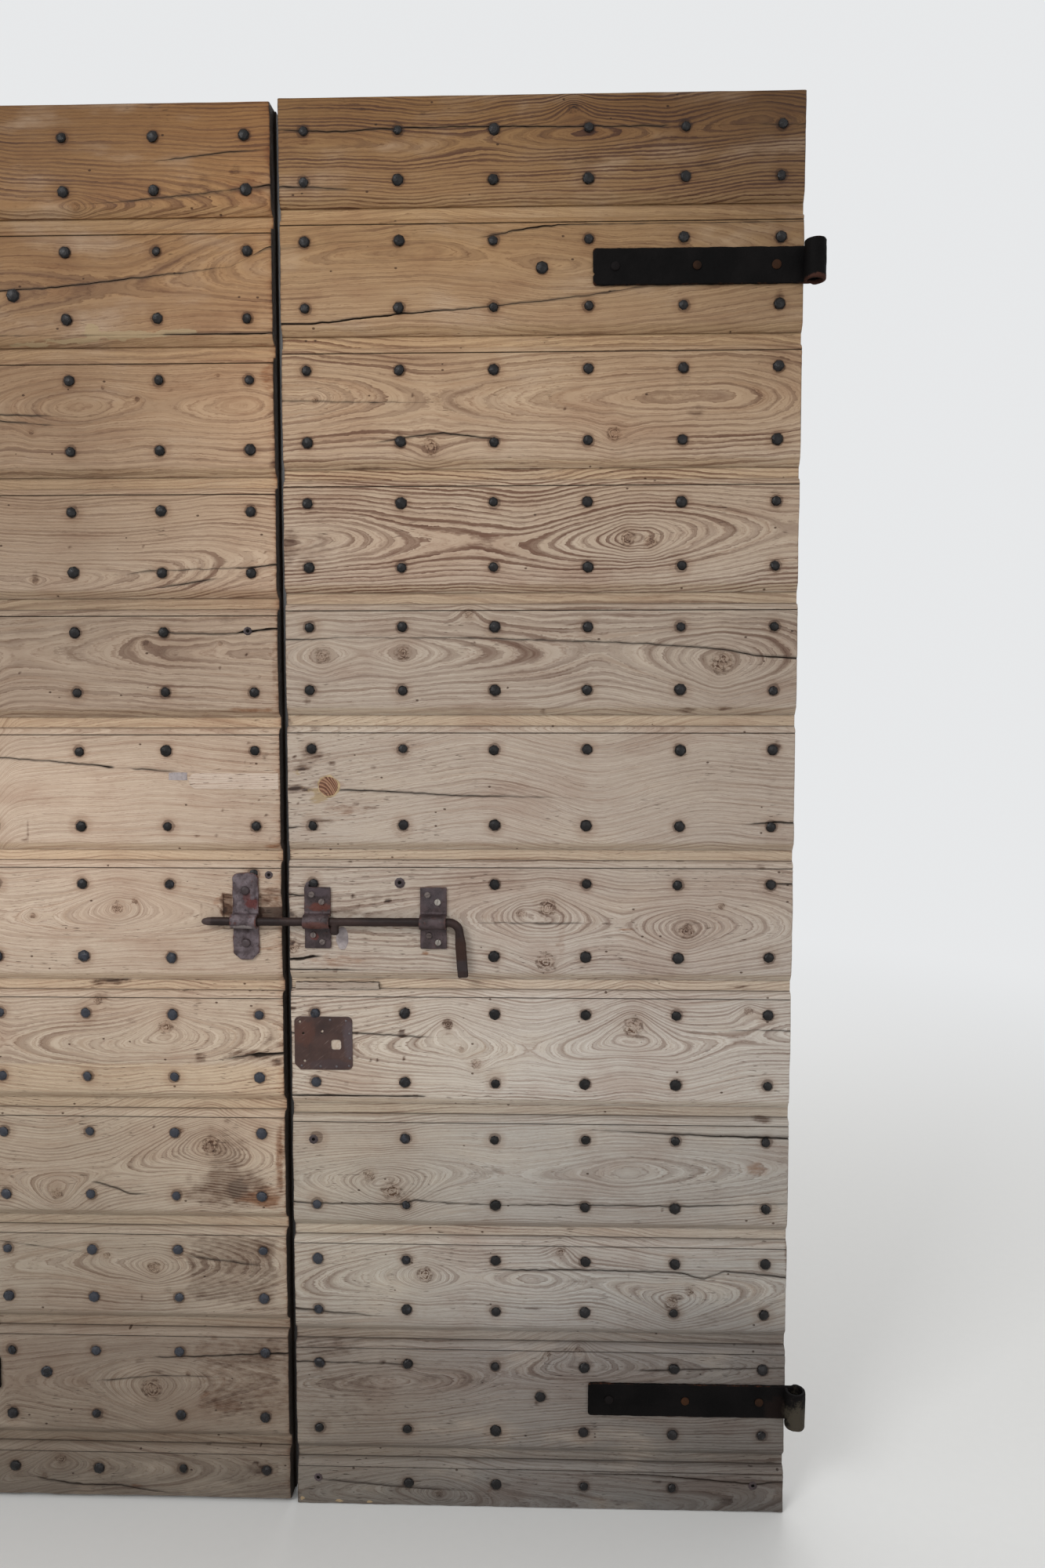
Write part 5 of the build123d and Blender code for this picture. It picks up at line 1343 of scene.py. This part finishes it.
def readMesh(items, key, width, kind=float):
    values = np.zeros(len(items) * width, kind)
    items.foreach_get(key, values)
    return values.reshape(-1, width)


def bakedMesh(holder, name):
    # the mesh that the holder's modifiers give; the holder itself is removed
    mesh = bpy.data.meshes.new_from_object(holder.evaluated_get(bpy.context.evaluated_depsgraph_get()))
    bpy.data.objects.remove(holder)
    mesh.name = name
    return mesh


def smoothOver(values, pairs, counts, times):
    # values: one row per vertex, each drawn towards the mean of its neighbours
    for _ in range(times):
        total = np.zeros_like(values)
        np.add.at(total, pairs[:, 0], values[pairs[:, 1]])
        np.add.at(total, pairs[:, 1], values[pairs[:, 0]])
        values = 0.5 * values + 0.5 * total / (counts if values.ndim == 1 else counts[:, None])
    return values


def notched(co):
    # a nick in the end of the strap, below its middle
    inward = 0.0032 - np.abs(co[:, 2] - co[:, 2].mean() + 0.0095) * 0.9
    co[:, 0] = np.maximum(co[:, 0], co[:, 0].min() + inward)
    return co


def forged(node, name, look):
    # a worn, hammered copy of a CAD iron: edges rounded, faces and outlines a little uneven
    mesh = nodes[node].data.copy()
    mesh.materials.clear()
    editMesh(mesh, lambda work: bmesh.ops.remove_doubles(work, verts=work.verts, dist=1e-6))
    rough = newPiece(name + "Rough", mesh)
    remesh = rough.modifiers.new("remesh", "REMESH")
    remesh.mode = "VOXEL"
    remesh.voxel_size = look["voxel"]
    ready = bakedMesh(rough, name)
    co, normals = (readMesh(ready.vertices, key, 3) for key in ("co", "normal"))
    pairs = readMesh(ready.edges, "vertices", 2, int)
    counts = np.bincount(pairs.ravel(), minlength=len(co)).astype(float)
    co = smoothOver(co, pairs, counts, look["soften"])
    pulled = smoothOver(co, pairs, counts, 4)
    edge = np.clip(((co - pulled) * normals).sum(1) / (look["voxel"] * 0.30), 0, 1)
    edge = smoothOver(edge, pairs, counts, 2)
    x, y, z = co.T
    dent = softNoise(x / 0.011 + y / 0.017, z / 0.012, look["seed"])
    dent = dent + 0.5 * softNoise(x / 0.004, z / 0.004 + y / 0.005, look["seed"] + 1)
    co = co + normals * (dent[:, None] - 0.6) * look["dents"]
    if look.get("notch"):
        co = notched(co)
    ready.vertices.foreach_set("co", np.clip(co, *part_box(node)).ravel())
    ready.materials.clear()
    ready.materials.append(irons[look["metal"]])
    ready.shade_smooth()
    giveAttributes(ready, {"edge": (edge, 0, 0)})
    ready.update()
    return seat(newPiece(name, ready), look["slot"], node, body=look.get("body", "door"))


# voxel and dents in m, soften: rounds of smoothing
strapShape = {"metal": "strapIron", "slot": "strap_iron", "voxel": 0.0013, "soften": 3, "dents": 0.0004}
keeperShape = {"metal": "keeperIron", "slot": "keeper_iron", "voxel": 0.0009, "soften": 3, "dents": 0.0003}
for side in ("right", "left"):
    for place in ("upper", "lower"):
        isNotched = (side, place) == ("right", "upper")
        forged(f"{side}_{place}_strap_hinge", f"{side}{place.title()}Strap",
               {**strapShape, "seed": len(side) + len(place), "notch": isNotched})
forged("bolt_rod", "boltRod", {"metal": "boltIron", "slot": "bolt_iron", "body": "bolt", "voxel": 0.0009, "soften": 4,
                               "dents": 0.00022, "seed": 21})
forged("bolt_staple", "boltStaple", {"metal": "stapleIron", "slot": "staple_iron", "voxel": 0.0009, "soften": 3,
                                     "dents": 0.0005, "seed": 31})
forged("inner_keeper", "innerKeeper", {**keeperShape, "seed": 41})
forged("outer_keeper", "outerKeeper", {**keeperShape, "seed": 51})
forged("lock_cover_plate", "coverPlate", {"metal": "coverSteel", "slot": "cover_plate_steel", "voxel": 0.0007,
                                          "soften": 2, "dents": 0.00012, "seed": 61})
print("irons are forged")


# Small fasteners: Geometry Nodes set a head on each point, turn and size it at random and dent it
def strewTree():
    tree = bpy.data.node_groups.new("setFasteners", "GeometryNodeTree")
    face = tree.interface
    face.new_socket("Geometry", in_out="OUTPUT", socket_type="NodeSocketGeometry")
    for name, kind in (("Points", "Geometry"), ("Head", "Object"), ("Least size", "Float"), ("Greatest size", "Float"),
                       ("Lean", "Vector"), ("Dent", "Float"), ("Seed", "Int"), ("Metal", "Material")):
        face.new_socket(name, in_out="INPUT", socket_type="NodeSocket" + kind)
    given = {socket.name: Wire(tree, socket) for socket in tree.nodes.new("NodeGroupInput").outputs if socket.name}
    turn, size = (addNode(tree, "GeometryNodeInputNamedAttribute", {"data_type": "FLOAT_VECTOR"}, {"Name": name})
                  for name in ("turn", "size"))
    lean = addNode(tree, "FunctionNodeRandomValue", {"data_type": "FLOAT_VECTOR"},
                   {0: given["Lean"].vector("SCALE", -1), 1: given["Lean"], "Seed": given["Seed"]}, 0)
    grow = addNode(tree, "FunctionNodeRandomValue", {"data_type": "FLOAT"},
                   {2: given["Least size"], 3: given["Greatest size"], "Seed": given["Seed"] + 7}, 1)
    head = addNode(tree, "GeometryNodeObjectInfo", {}, {"Object": given["Head"]}, "Geometry")
    placed = addNode(tree, "GeometryNodeInstanceOnPoints", {},
                     {"Points": given["Points"], "Instance": head, "Rotation": turn.vector("ADD", lean),
                      "Scale": size.vector("SCALE", grow)})
    real = addNode(tree, "GeometryNodeRealizeInstances", {}, {0: placed})
    where = addNode(tree, "GeometryNodeInputPosition", {}, {})
    noise = addNode(tree, "ShaderNodeTexNoise", {}, {"Vector": where, "Scale": 170.0, "Detail": 1.0}, 1)
    shift = noise.vector("SUBTRACT", (0.5, 0.5, 0.5)).vector("SCALE", given["Dent"])
    dented = addNode(tree, "GeometryNodeSetPosition", {}, {"Geometry": real, "Offset": shift})
    metal = addNode(tree, "GeometryNodeSetMaterial", {}, {"Geometry": dented, "Material": given["Metal"]})
    tree.links.new(metal.socket, tree.nodes.new("NodeGroupOutput").inputs[0])
    return tree


strewing = strewTree()


def strew(name, kind, spots, seed, *replaced):
    # spots: (x, y, z, size across, size forward, turn about z)
    look = fasteners[kind]
    points = newMesh(name + "Points", [spot[:3] for spot in spots], [])
    across, forward, turn = np.array([spot[3:] for spot in spots], float).T
    giveAttributes(points.data, {"turn": (0, 0, turn), "size": (across, forward, across)})
    setFasteners = points.modifiers.new("setFasteners", "NODES")
    setFasteners.node_group = strewing
    wanted = {"Head": look["head"], "Least size": look["sizes"][0], "Greatest size": look["sizes"][1],
              "Lean": (look["lean"], math.pi, look["lean"]), "Dent": look["dent"], "Seed": seed,
              "Metal": irons[look["metal"]]}
    for item in strewing.interface.items_tree:
        if item.item_type == "SOCKET" and item.in_out == "INPUT" and item.name in wanted:
            setFasteners[item.identifier] = wanted[item.name]
    ready = bakedMesh(points, name)
    for vertex in ready.vertices:
        vertex.co.y = min(max(vertex.co.y, cadBounds[0].y), cadBounds[1].y)
    if "sharp" in look:
        ready.shade_smooth()
        ready.set_sharp_from_angle(angle=math.radians(look["sharp"]))
    return seat(newPiece(name, ready), look["slot"], *replaced)


def closedHead(name, points, faces):
    head = newMesh(name, points, faces)
    turnOutward(head.data)
    return head


def turnedHead(name, outline, sides, twist=0.0):
    # a head turned from rings (radius, forward), unit size, seat at y = 0 and front towards -y
    points, faces = [], []
    for k, (radius, forward) in enumerate(outline):
        for i in range(sides):
            angle = 2 * math.pi * (i + twist * k) / sides
            points.append((radius * math.cos(angle), -forward, radius * math.sin(angle)))
    for k in range(len(outline) - 1):
        for i in range(sides):
            a, b = k * sides + i, k * sides + (i + 1) % sides
            faces.append((a, b, b + sides, a + sides))
    last = (len(outline) - 1) * sides
    faces += [tuple(range(last, last + sides)), tuple(reversed(range(sides)))]
    return closedHead(name, points, faces)


def slottedHead():
    # a screw head with an open slot: two raised halves on a round base
    start = math.asin(0.13)
    arc = [start + (math.pi - 2 * start) * i / 6 for i in range(7)]
    rim = [(math.cos(a + turn), math.sin(a + turn)) for turn in (0, math.pi) for a in arc]
    points, faces = [], []
    for x, z in rim:
        points += [(x, 0, z), (x, -0.22, z), (x * 0.9, -0.45, z * 0.9 if abs(z) > 0.2 else z)]
    base, low, top = (lambda i: i % 14 * 3), (lambda i: i % 14 * 3 + 1), (lambda i: i % 14 * 3 + 2)
    for first in (0, 7):
        for i in range(first, first + 6):
            faces.append((base(i), base(i + 1), low(i + 1), low(i)))
            faces.append((low(i), low(i + 1), top(i + 1), top(i)))
        faces.append(tuple(top(i) for i in range(first, first + 7)))
        faces.append((base(first + 6), base(first + 7), low(first + 7), low(first + 6)))
        faces.append((low(first), top(first), top(first + 6), low(first + 6)))
    faces.append((low(0), low(6), low(7), low(13)))
    faces.append(tuple(base(i) for i in reversed(range(14))))
    return closedHead("slottedHead", points, faces)


def clinchShape():
    # a nail's point, bent over and driven flat into the planks, along local x
    outline = [(0.0, 0.0026, 0.0016), (0.05, 0.0030, 0.0024), (0.35, 0.0027, 0.0022), (0.75, 0.0018, 0.0017),
               (1.0, 0.0006, 0.0004)]
    points, faces = [], []
    for along, wide, tall in outline:
        x = along * 0.022 - 0.002
        points += [(x, -0.0012, -wide), (x, tall, -wide * 0.6), (x, tall, wide * 0.6), (x, -0.0012, wide)]
    for a in range(0, len(points) - 4, 4):
        faces += [(a + i, a + (i + 1) % 4, a + 4 + (i + 1) % 4, a + 4 + i) for i in range(4)]
    faces += [(0, 1, 2, 3), tuple(reversed(range(len(points) - 4, len(points))))]
    return closedHead("clinchShape", points, faces)


roseHead = turnedHead("roseHead", [(1.0, -0.1), (1.0, 0.3), (0.78, 0.68), (0.36, 0.94), (0.1, 1.0)], 7, 0.4)
stubHead = turnedHead("stubHead", [(1.0, -0.1), (1.0, 0.16), (0.8, 0.3), (0.5, 0.26), (0.36, 0.07), (0.1, 0.05)],
                      9, 0.2)
rivetHead = turnedHead("rivetHead", [(1.0, -0.1), (0.98, 0.4), (0.80, 0.8), (0.35, 1.0)], 12)
tackHead = turnedHead("tackHead", [(1.0, -0.1), (0.9, 0.5), (0.5, 1.0)], 8)
screwHead = slottedHead()
clinchHead = clinchShape()

# sizes: least and greatest share of the given size, lean: greatest tilt in radians, dent in m, sharp in degrees
nail = {"metal": "nailIron", "slot": "nail_iron"}
rivet = {"head": rivetHead, "slot": "rivet_iron", "sharp": 40}
screw = {"head": screwHead, "slot": "screw_steel", "lean": 0.05, "dent": 0.0003, "sharp": 35}
fasteners = {
    "nail": {**nail, "head": roseHead, "sizes": (0.84, 1.13), "lean": 0.26, "dent": 0.0019, "sharp": 22},
    "clinch": {**nail, "head": clinchHead, "sizes": (0.85, 1.1), "lean": 0.0, "dent": 0.0004, "sharp": 30},
    "stub": {**nail, "head": stubHead, "metal": "stapleRivetIron", "sizes": (0.95, 1.05), "lean": 0.1, "dent": 0.0016,
             "sharp": 30},
    "stubShadeDisc": {**nail, "head": rivetHead, "metal": "strapIron", "sizes": (0.9, 1.2), "lean": 0.0, "dent": 0.0006},
    "hingeRivet": {**rivet, "metal": "rivetIron", "sizes": (0.92, 1.04), "lean": 0.05, "dent": 0.0006},
    "stapleRivet": {**rivet, "metal": "stapleRivetIron", "sizes": (0.95, 1.05), "lean": 0.1, "dent": 0.0008},
    "screw": {**screw, "metal": "screwSteel", "sizes": (0.94, 1.06)},
    "brightScrew": {**screw, "metal": "brightSteel", "sizes": (1.0, 1.06)},
    "tack": {"head": tackHead, "metal": "tackSteel", "slot": "screw_steel", "sizes": (0.9, 1.1), "lean": 0.1,
             "dent": 0.0002, "sharp": 40},
}
nailSize = {"small": 0.0080, "big": 0.0094, "height": 0.0050, "overStaple": 0.0036, "slip": 0.0012}
stubShape = {"near": 0.012, "height": 0.004, "holeShare": 0.38, "holeHeight": 0.0006}
# places and (size across, size forward) of the other fasteners
hingeRivet = {"insets": (0.040, 0.152, 0.268), "strap": 0.005, "front": (0.0066, 0.0022), "back": (0.0070, 0.0026)}
stapleRivet = {"ups": (0.045, -0.034), "plate": 0.004, "size": (0.0068, 0.0036)}
keeperScrew = {"places": ((0.0115, 0.040), (0.0265, 0.029), (0.0135, -0.021), (0.027, -0.0315)), "plate": 0.0041,
               "size": (0.0048, 0.0052)}
coverTack = {"places": ((0.0545, 0.077), (0.0785, 0.0755), (0.0835, 0.056), (0.084, 0.0185), (0.0825, 0.0065),
                        (0.0636, 0.0054), (0.0393, 0.0058), (0.0107, 0.0066)), "size": (0.0020, 0.0010)}
rodRadius = 0.0065
clinchedWithin = 0.752


def isBig(spot):
    # the larger nails stand alone in line with the straps, near the middle of the leaf
    row = [other for other in nailSpots["right"] + nailSpots["left"] if abs(other[1] - spot[1]) < 0.004]
    return 0.36 < abs(spot[0]) < 0.40 and len(row) < 6


# nails that have lost their heads are rusty stubs in the face: (u, v, radius); the last four stand for a CAD head
stubs = [(*onFace(u, v), size) for u, v, size in ((510, 1126, 0.0078), (343, 1116, 0.0062), (396, 1130, 0.0075),
                                                 (400, 1453, 0.0072), (316, 805, 0.0062), (406, 1884, 0.0066),
                                                 (960, 1895, 0.0068))]
luck = np.random.RandomState(7)
for side in ("right", "left"):
    spots = []
    for x, z in nailSpots[side]:
        if min(math.hypot(x - stub[0], z - stub[1]) for stub in stubs[3:]) < stubShape["near"]:
            continue
        size = nailSize["big" if isBig((x, z)) else "small"]
        slip = luck.uniform(-nailSize["slip"], nailSize["slip"], 2)
        spots.append((x + slip[0], faceY, z + slip[1], size, nailSize["height"] * luck.uniform(0.85, 1.05), 0))
    if side == "left":
        spots.append((stapledNail[0], faceY, stapledNail[1], nailSize["small"], nailSize["overStaple"], 0))
    strew(side + "NailHeads", "nail", spots, 11 + len(side), side + "_face_nails")
    tails = [(x, backY, z, 1, 1, 0) for x, z in nailSpots[side] if abs(x) < clinchedWithin]
    strew(side + "NailClinches", "clinch", tails, 23 + len(side))

strew("nailStubs", "stub", [(x, faceY, z, size, stubShape["height"], 0) for x, z, size in stubs], 71)
# near-black discs in the stubs' hollow ends: painted shade
strew("stubHoles", "stubShadeDisc", [(x, faceY - 0.0001, z, size * stubShape["holeShare"], stubShape["holeHeight"], 0)
                                for x, z, size in stubs], 73)
for side, way in (("right", 1), ("left", -1)):
    spots = []
    for place in ("upper", "lower"):
        low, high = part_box(f"{side}_{place}_strap_hinge")
        z = (low.z + high.z) / 2
        for inset in hingeRivet["insets"]:
            x = way * (boardWear["outerEdge"] - inset)
            spots += [(x, faceY - hingeRivet["strap"], z, *hingeRivet["front"], 0),
                      (x, backY, z, *hingeRivet["back"], math.pi)]
    strew(side + "HingeRivets", "hingeRivet", spots, 31, side + "_hinge_rivets")

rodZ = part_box("bolt_rod")[1].z - rodRadius
stapleX = (stapleLow.x + stapleHigh.x) / 2
strew("stapleRivets", "stapleRivet", [(stapleX, faceY - stapleRivet["plate"], rodZ + up, *stapleRivet["size"], 0)
                                      for up in stapleRivet["ups"]], 37, "staple_rivets")
for name in ("inner_keeper", "outer_keeper"):
    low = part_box(name)[0]
    spots = [(low.x + across, faceY - keeperScrew["plate"], rodZ + up, *keeperScrew["size"], 0)
             for across, up in keeperScrew["places"]]
    isOuter = name == "outer_keeper"
    strew(name.replace("_k", "K") + "Screws", "screw", spots[::2] if isOuter else spots,
          41 + len(name) + ord(name[0]), name + "_screws")
    if isOuter:
        strew("outerKeeperBrightScrews", "brightScrew", spots[1::2], 57)
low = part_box("lock_cover_plate")[0]
strew("coverTacks", "tack", [(low.x + across, low.y, low.z + up, *coverTack["size"], 0)
                             for across, up in coverTack["places"]], 53, "cover_plate_tacks")
for pattern in (roseHead, stubHead, rivetHead, tackHead, screwHead, clinchHead):
    bpy.data.objects.remove(pattern)
print("nails, rivets, screws and tacks are set")
